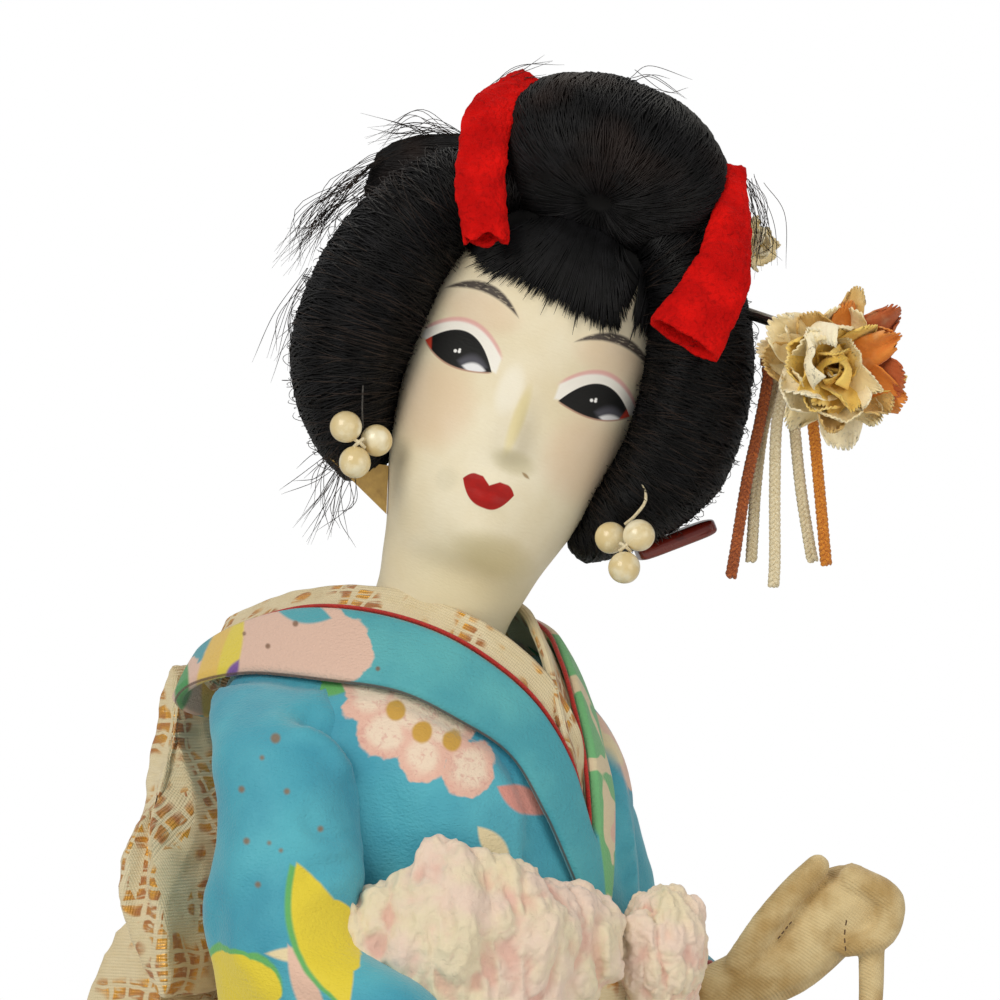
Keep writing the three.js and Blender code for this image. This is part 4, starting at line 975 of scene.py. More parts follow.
# Each chain of balls of [x, y, z, radius]: palm, four curled fingers, the pointing finger and the thumb.
HAND_CHAINS = [
    [(0, 0, 0.5, 4.5), (7, 0, 3, 5.5), (13, 0, 6.5, 5.9), (19, 0, 13.5, 6.9), (23.6, 0, 13.2, 5.4)],
    *[[(21.5, y, 18.6, 2.5), (27.3, y, 15.2, 2.5), (26, y, 9.6, 2.3), (20.5, y, 8, 2)] for y in (-4.6, -1.5)],
    *[[(21.5, y, 18, 2.5), (27, y, 14.4, 2.5), (25.8, y, 9, 2.3), (20.5, y, 7.6, 2)] for y in (1.6, 4.7)],
    [(24.6, -3, 9.4, 2.3), (24.4, -3, -1.5, 2.05), (23.2, -3, -8.4, 1.7)],
    [(3.5, -3, 5, 2.6), (7.8, -4.5, 11.6, 2.5), (12.2, -5, 16.9, 2.4), (15.8, -5, 20.6, 2.1)],
]
BALL_STEP = 0.7
HAND_VOXEL = 0.5
HAND_FLAT = 1.1  # how far behind its seat a hand is cut flat


def stuffed_hand(name, paint, place, seat, reach):
    """Chains of balls joined into one stuffed form, then eased; flat where it meets its cuff."""
    block = bmesh.new()
    for chain in HAND_CHAINS:
        rows = np.array(chain, float)
        count = int(np.linalg.norm(np.diff(rows[:, :3], axis=0), axis=1).sum() / BALL_STEP)
        for x, y, z, radius in smooth_path(rows, count):
            ball = bmesh.ops.create_icosphere(block, subdivisions=2, radius=radius)
            bmesh.ops.translate(block, verts=ball["verts"], vec=(x, y, z))
    mesh = bpy.data.meshes.new(name)
    block.to_mesh(mesh)
    block.free()
    made = link_piece(name, mesh)
    made.modifiers.new("even", "REMESH").voxel_size = HAND_VOXEL
    ease = made.modifiers.new("ease", "SMOOTH")
    ease.iterations = 3
    bake(made)
    points = read_points(made) @ place.T + seat
    short = np.minimum(0, (points - seat) @ reach + HAND_FLAT)
    move_points(made, in_figure(points - short[:, None] * reach) * MM)
    made.data.shade_smooth()
    coat(made.data, paint)
    return made


def turned(about_z, about_y):
    """Turn about Y and then about Z, in degrees, as a matrix."""
    a, b = math.radians(about_z), math.radians(about_y)
    round_z = np.array([[math.cos(a), -math.sin(a), 0], [math.sin(a), math.cos(a), 0], [0, 0, 1]])
    round_y = np.array([[math.cos(b), 0, math.sin(b)], [0, 1, 0], [-math.sin(b), 0, math.cos(b)]])
    return round_z @ round_y


knit_silk = knit_paint()
stitch_thread = thread_paint("dark_thread", srgb(70, 46, 22), srgb(112, 78, 40))
# A cuff's places along the wrist, with its radius at each: it is drawn in at both its ends.
CUFF_RUN = np.array([(0, 3.5), (0.05, 5.7), (0.2, 6.3), (0.5, 6.1), (0.8, 6.3), (0.95, 5.7), (1, 3.5)])
GATHERS = 22
HAND_GAP = 1.5
STITCH_RADIUS = 0.13
# Rows of stitches across the curled fingers and up the thumb.
SEAMS = [[(20.2, -7, 7.4), (20, -7.4, 10), (20.4, -7.6, 13)], [(9.4, -7.8, 9.4), (11.8, -8, 12.4)]]
for side, place in {"right": turned(-150, 22), "left": turned(-55, 0)}.items():
    reach = REACHES[side]
    level = unit(np.cross(reach, (0, 0, 1.0)))
    upright = np.cross(reach, level)
    turn = turns_round(140)[None, :]
    run, girth = CUFF_RUN[:, :1], CUFF_RUN[:, 1:]
    girth = girth + 0.14 * np.sin(GATHERS * turn) * (1 - 0.4 * run)
    ring = np.cos(turn)[..., None] * level + np.sin(turn)[..., None] * upright
    gathers = WRISTS[side] + (run * CUFF_LENGTH)[..., None] * reach + girth[..., None] * ring
    cuff = cloth_piece(side + "_gathered_cuff", in_figure(gathers), red_silk, around=True, capped=True)
    piece_of("figure", "red_silk", cuff, side + "_cuff", fill=0.7)
    seat = WRISTS[side] + (CUFF_LENGTH + HAND_GAP) * reach
    hand = stuffed_hand(side + "_knit_hand", knit_silk, place, seat, reach)
    piece_of(side + "_hand", "knit_skin", hand, side + "_hand", fill=0.9)
    stitches = []
    for seam in SEAMS:
        holes = smooth_path(seam, 9)
        for a, b in zip(holes[:-1:2], holes[1::2]):
            stitch = np.array([a, (a + b) / 2 + (0, -0.25, 0), b])
            stitches.append(in_figure(stitch @ place.T + seat))
    sewn = strands(side + "_hand_stitches", stitches, STITCH_RADIUS, stitch_thread, 5)
    piece_of(side + "_hand", "knit_skin", sewn)


# Sash: a stiff band of cream brocade round the waist, knotted at the back into a standing loop and a
# hanging one. Gold and brown blocks are woven into it with metal thread.
def brocade_paint(name, size=1.0):
    """Ribbed cream cloth with blocks and rosettes of metal thread; `size` scales them."""
    paint = Paint(name)
    u, v = paint.cloth()
    spot = paint.vector(u, v)
    drift = paint.split(paint.noise(9.0, spot, colour=True))
    across, along = u + (drift[0] - 0.5) * 5, v + (drift[1] - 0.5) * 5
    block_u = abs((across * (math.pi / (3.9 * size))).sine())
    block_v = abs((along * (math.pi / (2.4 * size))).sine())
    block = (block_u.step(0.25, 0.5) * block_v.step(0.3, 0.55)).least(1.0)
    where = paint.noise(13.0 * size, spot, detail=2.0)
    rosettes = paint.cells(6.5 * size, spot, flat=True)
    figured = block * where.step(0.5, 0.56) + rosettes.step(0.32, 0.26) * where.step(0.43, 0.37)
    floats = paint.noise(0.8, paint.vector(u * 0.25, v), detail=3.0)
    figured = figured.least(1.0) * floats.step(0.28, 0.5)
    glint = paint.noise(4.5, spot, detail=3.0)
    metal = paint.mix(glint.step(0.4, 0.66), srgb(176, 112, 58), srgb(232, 170, 62))
    ground = paint.mix(paint.noise(10.0, spot, detail=4.0), srgb(206, 184, 136), srgb(246, 234, 202))
    ground = paint.mix(floats.step(0.4, 0.8) * 0.3, ground, srgb(214, 190, 138))
    colour = paint.mix(figured, ground, metal)
    rib = (v * (2 * math.pi / 0.5)).sine() * 0.5 + (u * (2 * math.pi / 0.36)).sine() * 0.35
    height = rib + figured * 0.9 + floats * 0.6
    paint.feed(paint.shader.inputs["Metallic"], figured * glint.step(0.42, 0.7) * 0.65)
    return paint.finish(colour, 0.6 - figured * 0.22, height, 0.07, sheen_weight=0.2)


brocade = brocade_paint("gold_brocade")
OBI_BOTTOM, OBI_TOP = WAIST - 13, WAIST + 33
OBI_INSIDE, OBI_EDGE, OBI_FACE = 0.8, 2.8, 3.4
edge = [(OBI_BOTTOM, OBI_INSIDE), (OBI_BOTTOM, OBI_EDGE), (OBI_BOTTOM + 0.6, OBI_FACE)]
levels = np.linspace(OBI_BOTTOM + 2, OBI_TOP - 2, 40)
face = [(height, OBI_FACE + 0.12 * math.sin(height * 0.9)) for height in levels]
rows = [*edge, *face, (OBI_TOP - 0.6, OBI_FACE), (OBI_TOP, OBI_EDGE), (OBI_TOP, OBI_INSIDE), edge[0]]
obi_rows = [figure_surface(height, turns_round(240)[None, :], grow) for height, grow in rows]
obi = cloth_piece("brocade_sash", in_figure(np.concatenate(obi_rows)), brocade, around=True)
piece_of("figure", "gold_brocade", obi, "obi_band", fill=0.9)


def egg_grid(centre, halves, rows=60, columns=90):
    """Rows and columns of points on a stretched ball."""
    up = np.linspace(-0.499 * math.pi, 0.499 * math.pi, rows)[:, None]
    turn = turns_round(columns)[None, :]
    ball = np.stack([np.cos(up) * np.cos(turn), np.cos(up) * np.sin(turn), np.sin(up) + 0 * turn], -1)
    return np.array(centre) + ball * np.array(halves)


def point_of_corner(mesh):
    """The point that each corner of a mesh's faces stands on."""
    corners = np.empty(len(mesh.loops), int)
    mesh.loops.foreach_get("vertex_index", corners)
    return corners


def lay_flat(made):
    """Lays the woven pattern straight onto a folded form, from the side that each face looks to."""
    c, s = math.cos(FIGURE_TURN), math.sin(FIGURE_TURN)
    turned_back = np.array([[c, -s, 0], [s, c, 0], [0, 0, 1]])
    points = (read_points(made) / MM - (0, FIGURE_BACK, BOARD_TOP)) @ turned_back
    ways = np.empty(3 * len(made.data.polygons))
    made.data.polygons.foreach_get("normal", ways)
    facing = np.argmax(np.abs(ways.reshape(-1, 3) @ turned_back), 1)
    counts = np.empty(len(made.data.polygons), int)
    made.data.polygons.foreach_get("loop_total", counts)
    axes = np.array([[1, 2], [0, 2], [0, 1]])[np.repeat(facing, counts)]
    flat = np.take_along_axis(points[point_of_corner(made.data)], axes, 1)
    made.data.uv_layers["cloth"].data.foreach_set("uv", flat.ravel())
    return made


knot = cloth_piece("brocade_knot", in_figure(egg_grid((0, 42, 240), (13.6, 8.6, 12.6))), brocade, True, True)
rumple(lay_flat(knot), 9, 0.7, "ridged", seed=2)
piece_of("figure", "gold_brocade", knot, "obi_knot", fill=0.8)
# Loops: an outline of [y, z], how far the loop reaches to each side at some heights, and a seed.
BOW_LOOPS = {
    "upper": (
        [(34, 250), (42, 260), (48.6, 276), (50.4, 291), (49, 301), (46.8, 298), (44.8, 288), (36, 273)],
        [(250, -27, 7), (264, -26, 7), (276, -15, 6.5), (288, -9.5, 6), (300, -7, 5)],
        4,
    ),
    "lower": (
        [(40, 255), (46, 261), (52, 256), (56, 243), (57, 215), (52, 180), (46, 178), (44, 215)],
        [(178, -21, 13), (215, -21, 13), (245, -21, 13), (261, -19, 11)],
        6,
    ),
}
for name, (outline, reaches, seed) in BOW_LOOPS.items():
    rim = ring_path(outline, 150)
    low, high = profile(reaches, rim[:, 1])
    middle = rim.mean(0)
    sections = []
    drawn_in = np.concatenate([np.linspace(0.04, 0.96, 16), [0.99, 1]])
    stations = [(0, s) for s in drawn_in] + [(s, 1) for s in np.linspace(0.03, 0.97, 40)]
    for share, spread in stations + [(1, s) for s in drawn_in[::-1]]:
        bulge = 1.8 * math.sqrt(1 - spread**2) * (2 * share - 1) if share in (0, 1) else 0
        shrunk = middle + (rim - middle) * spread
        side_x = low + (high - low) * share
        side_x = side_x + (side_x.mean() - side_x) * (1 - spread) ** 2 + bulge
        sections.append(np.stack([side_x, shrunk[:, 0], shrunk[:, 1]], 1))
    loop = cloth_piece(name + "_brocade_loop", in_figure(np.array(sections)), brocade, True, True)
    lay_flat(loop)
    rumple(loop, 15, 0.9, seed=seed)
    rumple(loop, 7, 0.35, "ridged", seed=seed)
    piece_of("figure", "gold_brocade", loop, f"obi_{name}_loop", fill=0.5)


# Scarf: a crumpled end of pink crepe tucked in over the sash, from under the right arm round to the front,
# with one loose puff. It is softer in its creases, and painted shade makes it pinker there than on top.
def crepe_paint():
    """Pale pink crepe, with painted shade of a deeper pink where a fold lies low."""
    paint = Paint("crumpled_crepe")
    fold = paint.node("ShaderNodeAttribute", {"attribute_name": "shaded_recess"}, output="Fac")
    cloud = paint.noise(9 * MM, detail=3.0)
    fine = paint.noise(1.3 * MM, detail=4.0, warp=0.6)
    tone = paint.mix(cloud.step(0.35, 0.6), srgb(236, 212, 196), srgb(232, 218, 188))
    tone = paint.mix(cloud.step(0.58, 0.78) * 0.4, tone, srgb(230, 210, 168))
    tone = paint.mix(fine.step(0.5, 0.75) * 0.3, tone, srgb(232, 198, 182))
    # Painted shade: a deeper pink where the crepe lies low in a crease.
    tone = paint.mix(fold.step(0.64, 1.0) * 0.5, tone, srgb(224, 162, 150))
    return paint.finish(tone, 0.8, fine, 0.34, sheen_weight=0.3)


# Shares of a crumple's size and depth, its form and squeeze: puffs, upright pleats, ridges and fine crinkles.
CREPE_FOLDS = [
    (1.15, 0.5, "puffed", (1, 1, 1)),
    (1 / 1.7, 1 / 2.4, "puffed", (1.5, 1.5, 0.55)),
    (1 / 3.2, 1 / 4.5, "ridged", (1.3, 1.3, 0.6)),
    (1 / 7, 1 / 10, "puffed", (1, 1, 1)),
]


def crumpled(made, size, depth, seed):
    """Puffs and creases of crepe, and how deep each point lies, for the painted shade in its creases."""
    before, ways = read_points(made), read_points(made, "normal")
    for number, (wide, deep, form, squeeze) in enumerate(CREPE_FOLDS):
        rumple(made, size * wide, depth * deep, form, seed + number, 1, squeeze)
    lift = ((read_points(made) - before) * ways).sum(1) / (depth * MM)
    shaded_recess = np.clip(0.45 - lift, 0, 1)
    made.data.attributes.new("shaded_recess", "FLOAT", "POINT").data.foreach_set("value", shaded_recess)
    return made


crepe = crepe_paint()
SCARF_FROM, SCARF_ROUND = 188, 80
SCARF_HEIGHT, SCARF_HALF_HEIGHT, SCARF_BULGE = 259, 13, 7.5
LOBE_TALL, LOBE_PLACE, LOBE_SPREAD = 4.4, 0.46, 0.17
share = np.linspace(0, 1, 230)[:, None]
angle = turns_round(170)[None, :]
turn = np.radians(SCARF_FROM + SCARF_ROUND * share)
wide, front, _ = profile(FIGURE_ROWS, SCARF_HEIGHT)
taper = np.sin(math.pi * np.clip(0.035 + 0.93 * share, 0, 1)) ** 0.33
lump = taper * (1 + 0.06 * np.sin(21 * share) + 0.05 * np.sin(3 * angle + 9 * share))
reach = 3 + SCARF_BULGE * lump * np.cos(angle) * 0.94
lobe = np.exp(-(((share - LOBE_PLACE) / LOBE_SPREAD) ** 2))
top_lobe = LOBE_TALL * lobe * np.maximum(0, np.sin(angle)) ** 3
scarf_points = np.stack(
    [
        (wide + reach) * np.cos(turn),
        (front + reach) * np.sin(turn),
        SCARF_HEIGHT + SCARF_HALF_HEIGHT * lump * np.sin(angle) * 0.98 + top_lobe,
    ],
    -1,
)
scarf = cloth_piece("crepe_scarf", in_figure(scarf_points), crepe, around=True, capped=True)
crumpled(scarf, 12, 2.6, 11)
piece_of("figure", "pink_crepe", scarf, "obi_scarf", fill=0.4)
PUFF_PLACE, PUFF_HALVES = (7.7, -37, SCARF_HEIGHT - 2), (8.2, 7.6, 10.6)
puff_grid = egg_grid(PUFF_PLACE, PUFF_HALVES, 150, 200)
puff = cloth_piece("crepe_puff", in_figure(puff_grid), crepe, around=True, capped=True)
crumpled(puff, 9, 2.2, 17)
piece_of("figure", "pink_crepe", puff, "obi_scarf_puff", fill=0.4)

# Collars: the printed kimono collar is folded flat over a stiffener and crosses left over right. Inside
# it stands a brocade collar, and a thin red piping is sewn between them.
BAND_ROWS = 18
BAND_ROUND = 0.14  # share of a band's half-width that its rounded edge takes up


def collar_band(start, end, inner, outer, crown=0.0):
    """A flat band round the neck with rounded edges, from `start` to `end` down the collar."""
    share = np.linspace(0, 1, BAND_ROWS)
    past_flat = np.maximum(0, np.abs(2 * share - 1) - (1 - BAND_ROUND))
    bulge = np.sqrt(np.maximum(0, 1 - past_flat**2 / BAND_ROUND**2))
    middle, half = (inner + outer) / 2, (outer - inner) / 2
    rows = []
    for place, swell in zip(share, bulge):
        rows.append((place, middle + half * swell + crown * math.sin(math.pi * place)))
    for place, swell in zip(share[-2:0:-1], bulge[-2:0:-1]):
        rows.append((place, middle - half * swell))
    run = start + np.outer([place for place, _ in rows], np.broadcast_to(end - start, COLLAR_STEPS))
    out = np.array([[height] for _, height in rows])
    band = upper + run[..., None] * down + out[..., None] * outward
    return in_figure(np.concatenate([band, band[:1]]))


# The print of the collar: one pale flower, the leaves across it and old brown spots.
COLLAR_FLOWER = [(-27, 328, 7.5), (-20, 329.5, 7), (-15.5, 329, 5.2), (-33, 325, 5), (-40, 322, 5)]
COLLAR_SPOTS = [(-22.7, 332.7, 0.45), (-27, 329.2, 0.4), (-9.5, 326, 0.35), (-31, 331, 0.3)]
COLLAR_LEAVES = [
    ((-38.6, 316), (-32.4, 336), 2.5, srgb(228, 190, 92)),
    ((-35, 319), (-31.4, 335), 1.6, srgb(226, 206, 70)),
    ((-27, 336), (-17, 333.6), 1.9, srgb(74, 166, 180)),
    ((-42, 318), (-40.6, 326), 1.2, srgb(60, 150, 80)),
    ((-33.8, 323), (-31.6, 327), 0.8, srgb(124, 84, 158)),
    ((-14, 317), (-8, 322), 1.6, srgb(226, 190, 172)),
]


def collar_print(fold):
    """Silk of the collar; `fold` is how far down the cloth its lower edge is folded."""
    paint = Paint("collar_silk")
    x, y, z = paint.millimetres()
    cloud = paint.noise(12 * MM, detail=3.0)
    ground = paint.mix(cloud.step(0.3, 0.75), srgb(62, 156, 172), srgb(88, 178, 186))
    ragged = (paint.noise(3 * MM, detail=3.0) - 0.5) * 2.6
    colour = paint.mix(blot(x, z, COLLAR_FLOWER, 0.25, ragged), ground, srgb(226, 190, 172))
    colour = leaves(paint, x, z, colour, COLLAR_LEAVES)
    # The far side is printed cream, green and pink.
    far = (x * math.cos(FIGURE_TURN) + (y - FIGURE_BACK) * math.sin(FIGURE_TURN)).step(0.2, 0.8)
    patch = paint.noise(8 * MM, detail=1.0)
    away = paint.mix(patch.step(0.46, 0.48), srgb(226, 208, 172), srgb(112, 184, 122))
    away = paint.mix(patch.step(0.36, 0.34), away, srgb(228, 186, 166))
    colour = paint.mix(far, colour, away)
    colour = paint.mix(blot(x, z, COLLAR_SPOTS, 0.2) * 0.85, colour, srgb(122, 84, 52))
    # A thin brown line along the folded lower edge: partly the seam at the fold, partly painted shade there.
    _, along_fold = paint.cloth()
    colour = paint.mix(abs(along_fold - fold + 0.2).step(0.32, 0.12) * 0.8, colour, srgb(92, 58, 44))
    return silk_finish(paint, colour)


half = COLLAR_THICKNESS / 2
collar_form = collar_band(0, collar_width, -half, half, 0.35)
folded_at = np.linalg.norm(np.diff(collar_form[:BAND_ROWS], axis=0), axis=2).mean(1).sum()
collar = cloth_piece("folded_collar", collar_form, collar_print(folded_at), around=True)
piece_of("figure", "kimono_silk", collar, "kimono_collar", fill=0.9)
inner_band = collar_band(-INNER_SHOWS, INNER_TUCK, INNER_FACE - INNER_THICKNESS, INNER_FACE)
inner_collar = cloth_piece("brocade_collar", inner_band, brocade_paint("collar_brocade", 0.8), around=True)
rumple(inner_collar, 9, 0.35, seed=8)
piece_of("figure", "gold_brocade", inner_collar, "inner_collar", fill=0.9)
PIPING_GAP = 0.3
cord_line = upper - (PIPING_RADIUS + PIPING_GAP) * down + (INNER_FACE + PIPING_GAP + PIPING_RADIUS) * outward
piping = strands(
    "red_piping",
    [in_figure(np.concatenate([cord_line, cord_line[:1]]))],
    PIPING_RADIUS * 0.75,
    thread_paint("red_twist", srgb(150, 14, 8), srgb(214, 44, 26)),
    sides=8,
)
piece_of("figure", "red_silk", piping, "collar_piping")


# Head: a moulded head and neck under one piece of stretched silk satin, on a wooden peg. The face is
# painted on the silk: black eyes under white lids, thin brows and a small red mouth.
HEAD_TILT = math.radians(20)
NECK = np.array([0.45, 2, 335.8])
# Height up the neck, half-width, front depth and back depth.
HEAD_ROWS = [
    (-8, 11, 11, 11),
    (0, 11, 11, 11),
    (5, 12, 11.2, 11.2),
    (9, 12.9, 14, 11.4),
    (14, 14.5, 16.2, 12),
    (20, 16.4, 17, 13),
    (28, 18, 17, 15.5),
    (38, 19, 16.2, 18),
    (47, 18.7, 16.4, 18.5),
    (56, 16.5, 14, 16.5),
    (63, 11.5, 9.5, 11),
    (67, 4, 3.5, 4),
]


def in_head(points):
    """Points in the head's own leaning axes, measured from its neck, moved into the model."""
    x, y, z = np.moveaxis(np.asarray(points, float), -1, 0)
    c, s = math.cos(HEAD_TILT), math.sin(HEAD_TILT)
    return np.stack([NECK[0] + c * x + s * z, NECK[1] + y, NECK[2] - s * x + c * z], -1)


def face_relief(x, z):
    """How far the face stands out at a place on its front: nose, lips, lids and cheeks."""

    def mound(cx, cz, wide, tall, rise):
        return rise * np.exp(-(((x - cx) / wide) ** 2) - ((z - cz) / tall) ** 2)

    above = z - 26.6
    ridge = 2.9 * np.exp(-((above / np.where(above > 0, 7.5, 2.3)) ** 2))
    middle = 1.5 - 0.1 * np.clip(above, 0, 14)
    nose = ridge * np.exp(-(((x - middle) / 2.5) ** 2))
    mouth = mound(0.8, 20.2, 3.4, 1.3, 0.5) + mound(1.2, 17.6, 2.4, 1.2, 0.45) - mound(0.9, 19, 3, 0.5, 0.25)
    chin = mound(1.5, 11.5, 4.5, 3, 0.8)
    sockets = mound(-10.8, 39.5, 5.5, 4.2, -0.7) + mound(11.4, 38.8, 5.5, 4.2, -0.7)
    return nose + mouth + chin + sockets


def head_front(x, z, lift=0.0):
    """Y of the head's front surface."""
    wide, front, _ = profile(HEAD_ROWS, z)
    round_share = np.sqrt(np.maximum(0.02, 1 - (x / (wide + lift)) ** 2))
    return -(front + lift) * round_share - face_relief(x, z) * round_share**2


# Soft washes on the silk, of blush and of painted light: colour, middle in x and z, half-width, half-height
# and strength.
FACE_WASHES_AND_PAINTED_LIGHT = [
    (srgb(226, 188, 158), -12, 29, 8, 9, 0.38),
    (srgb(224, 186, 156), 13, 29, 8, 9, 0.42),
    (srgb(222, 186, 158), -10, 45, 8, 4, 0.35),
    (srgb(222, 186, 158), 12, 45, 8, 4, 0.35),
    # Painted shade on the neck and under the chin.
    (srgb(204, 188, 142), 4, 3, 16, 10, 0.5),
    (srgb(200, 184, 136), 5, 10, 8, 4.2, 0.5),
    # A painted highlight on the left of the nose bridge, then painted shade down the nose and under it.
    (srgb(246, 242, 230), -1.6, 35, 2.6, 5, 0.6),
    (srgb(220, 204, 140), 1.2, 31, 1.3, 7, 0.6),
    (srgb(194, 182, 138), 2.8, 24.6, 4.4, 2.4, 0.42),
    (srgb(206, 200, 176), -6.1, 18.6, 2.2, 2.4, 0.28),
]
# Each eye: its two ends, how its edges bow, its lid's peak and bow, where its white shows, which end is the
# inner corner, and the place of its glints.
EYES = [
    ((-16.8, 38), (-5.2, 36.6), (14.8, 2.5), (9, -4), (-11.2, 43, 0.08), (-9.9, -6.2, 36.5), 0, -11.4),
    ((6.1, 36), (17.5, 37.7), (17, -2), (4.5, 3), (12, 42.6, 0.088), (13, 17.2, 36.3), 1, 11.25),
]
# Each brow: its two ends, its peak and how it bows.
BROWS = [((-17, -3.8), (-10.9, 48.8), 0.061), ((5, 19.2), (12, 48.3), 0.063)]


def painted_face():
    """Silk skin with washes of blush and painted light, then eyes, brows and mouth, and the net of the wig.
    """
    paint = Paint("painted_silk")
    x, z = paint.cloth()
    _, depth, _ = paint.millimetres()
    front = depth.step(3, 0)
    satin = paint.noise(0.35 * MM, paint.vector(x * 0.0004, z * 0.001), detail=2.0)
    cloud = paint.noise(14 * MM, detail=3.0)
    skin = paint.mix(cloud.step(0.3, 0.75), srgb(232, 219, 188), srgb(242, 234, 212))
    skin = paint.mix(satin * 0.2, skin, srgb(206, 188, 146))

    colour = skin
    # Blush, painted shade and a painted highlight, each a soft oval over the skin.
    for dye, cx, cz, wide, tall, share in FACE_WASHES_AND_PAINTED_LIGHT:
        dx, dz = (x - cx) / wide, (z - cz) / tall
        colour = paint.mix((dx * dx + dz * dz).step(1, 0.1) * share, colour, dye)
    colour = paint.mix(streak(x, z, (4.6, 23.6), (6, 23), 0.24, 0.16) * 0.8, colour, srgb(146, 112, 62))

    for start, end, bow_up, bow_down, lid, white, corner, dots in EYES:
        t = (x - start[0]) / (end[0] - start[0])
        chord = t * (end[1] - start[1]) + start[1]
        arch = t * (1 - t)
        upper = chord + arch * (t * bow_up[1] + bow_up[0])
        lower = chord - arch * (t * bow_down[1] + bow_down[0])
        open_eye = (upper - z).least(z - lower).step(-0.12, 0.12)
        peak = (x - lid[0]) * (x - lid[0]) * -lid[2] + lid[1]
        reach = (x - start[0] + 0.9).least(end[0] + 0.9 - x)
        lid_white = (peak - z).least(z - chord).least(reach).step(-0.1, 0.45)
        colour = paint.mix(lid_white * 0.85, colour, srgb(246, 244, 240))
        lid_line = abs(peak - z).step(0.62, 0.1) * reach.step(-0.4, 1.2)
        colour = paint.mix(lid_line * 0.7, colour, srgb(226, 160, 164))
        lash = abs(z - lower).step(0.36, 0.14) * arch.step(-0.02, 0.05)
        colour = paint.mix(lash * 0.75, colour, srgb(164, 112, 98))
        eye = srgb(2, 2, 3)
        grey = streak(x, z, (white[0] - 0.9, white[2] + 0.1), (white[1], white[2] + 0.6), 1.35, 0.7)
        shown = paint.mix(grey * 0.7, eye, srgb(92, 92, 104))
        pale = streak(x, z, (white[0], white[2] - 0.4), (white[1], white[2]), 0.8, 0.3)
        shown = paint.mix(pale, shown, srgb(236, 236, 240))
        rim = (upper - z).step(0.55, 0.25) + (t.step(0.94, 0.98) if corner == 0 else 0)
        shown = paint.mix(rim.least(1.0), shown, srgb(6, 6, 12))
        edge = (t if corner == 0 else 1 - t) + (z - lower) * 0.035
        shown = paint.mix(edge.step(0.145, 0.1), shown, srgb(206, 62, 40))
        colour = paint.mix(open_eye, colour, shown)
        glints = [(dots - 0.3, 37.9, 0.26), (dots + 0.32, 38, 0.24), (dots + 0.3, 38.3, 0.2)]
        colour = paint.mix(blot(x, z, glints, 0.1) * open_eye, colour, srgb(245, 245, 245))
    # Brows: a row of fine brush strokes that thins out at both its ends.
    bristle = paint.noise(0.6, paint.vector(x * 0.5 + z * 0.8, z * 1.6 - x * 0.4), detail=2.0)
    for ends, peak, bow in BROWS:
        run = (x - ends[0]) / (ends[1] - ends[0])
        swell = (run * (1 - run) * 4).most(0.0) ** 0.8 * 0.95
        line = (x - peak[0]) * (x - peak[0]) * -bow + peak[1]
        hair = (swell - abs(z - line)).step(-0.1, 0.45) * run.step(0, 0.03) * run.step(1, 0.97)
        colour = paint.mix(hair * (bristle.step(0.2, 0.5) * 0.5 + 0.45), colour, srgb(52, 44, 46))
    # Mouth: a small heart with a deep notch above.
    low_edge = abs(x - 0.9) ** 2.7 * (x.step(0, 3) * 0.045 + 0.052) + 16.3
    notch = (1.4 - abs(x - 0.5)).most(0.0) * 0.75
    ends = (abs(x - 0.5) - 2.6).most(0.0)
    high_edge = 21 - notch - ends * ends * 0.5
    mouth = (high_edge - z).least(z - low_edge).step(-0.1, 0.15)
    red = paint.mix(paint.noise(1.8 * MM, detail=3.0), srgb(140, 5, 3), srgb(186, 18, 10))
    colour = paint.mix(mouth, colour, red)
    # The black net of the wig comes down under the fringe.
    hairline = abs(x - 12.2).step(0.9, 0.5) * 4 + 53.4
    colour = paint.mix((z - hairline).step(-0.3, 0.3), paint.mix(front, skin, colour), srgb(14, 14, 16))
    return paint.finish(colour, 0.6 - mouth * 0.15, satin, 0.05, sheen_weight=0.1, specular_ior_level=0.28)


heights = np.concatenate([np.linspace(HEAD_ROWS[0][0], 66, 190), [66.6, HEAD_ROWS[-1][0]]])[:, None]
turn = turns_round(220)[None, :]
wide, front, back = profile(HEAD_ROWS, heights)
across = wide * np.cos(turn)
ahead = np.maximum(0, -np.sin(turn)) ** 2
depth = np.where(np.sin(turn) < 0, front, back) * np.sin(turn)
head_grid = np.stack([across, depth - face_relief(across, heights) * ahead, heights + 0 * turn], -1)
head = cloth_piece("silk_face", in_head(head_grid), painted_face(), around=True, capped=True)
# The face paint is laid out by its place on the head, across and up.
c, s = math.cos(HEAD_TILT), math.sin(HEAD_TILT)
flat = (read_points(head) / MM - NECK)[:, [0, 2]] @ np.array([[c, s], [-s, c]])
head.data.uv_layers["cloth"].data.foreach_set("uv", flat[point_of_corner(head.data)].ravel())
piece_of("head", "silk_skin", head, "silk_head", fill=0.95)
peg_wood = Paint("turned_wood")
_, _, up = peg_wood.millimetres()
rings = peg_wood.noise(1.5, peg_wood.vector(up * 0.15, peg_wood.noise(3 * MM) * 6), detail=3.0)
peg_wood.finish(peg_wood.mix(rings, srgb(146, 104, 62), srgb(198, 160, 108)), 0.7, rings, 0.08)
dress("neck_peg", peg_wood)


# Wig: black hair over pads, brushed back from a pinched parting into a front roll, two side rolls, a back
# roll and a wide knot. The fringe is cut ragged, and some hairs have worked loose.
def hair_paint(name, dark, light, roughness=0.45):
    """Hair in locks of two tones, faded to rust in places at the top of the wig."""
    paint = Paint(name)
    x, y, z = paint.millimetres()
    lock = paint.noise(3.2 * MM, detail=3.0)
    rust = paint.noise(11 * MM, detail=2.0).step(0.45, 0.75) * z.step(392, 412)
    tone = paint.mix(lock.step(0.35, 0.75), dark, light)
    tone = paint.mix(rust * 0.55, tone, srgb(44, 28, 22))
    return paint.finish(tone, roughness + lock * 0.15, specular_ior_level=0.22)


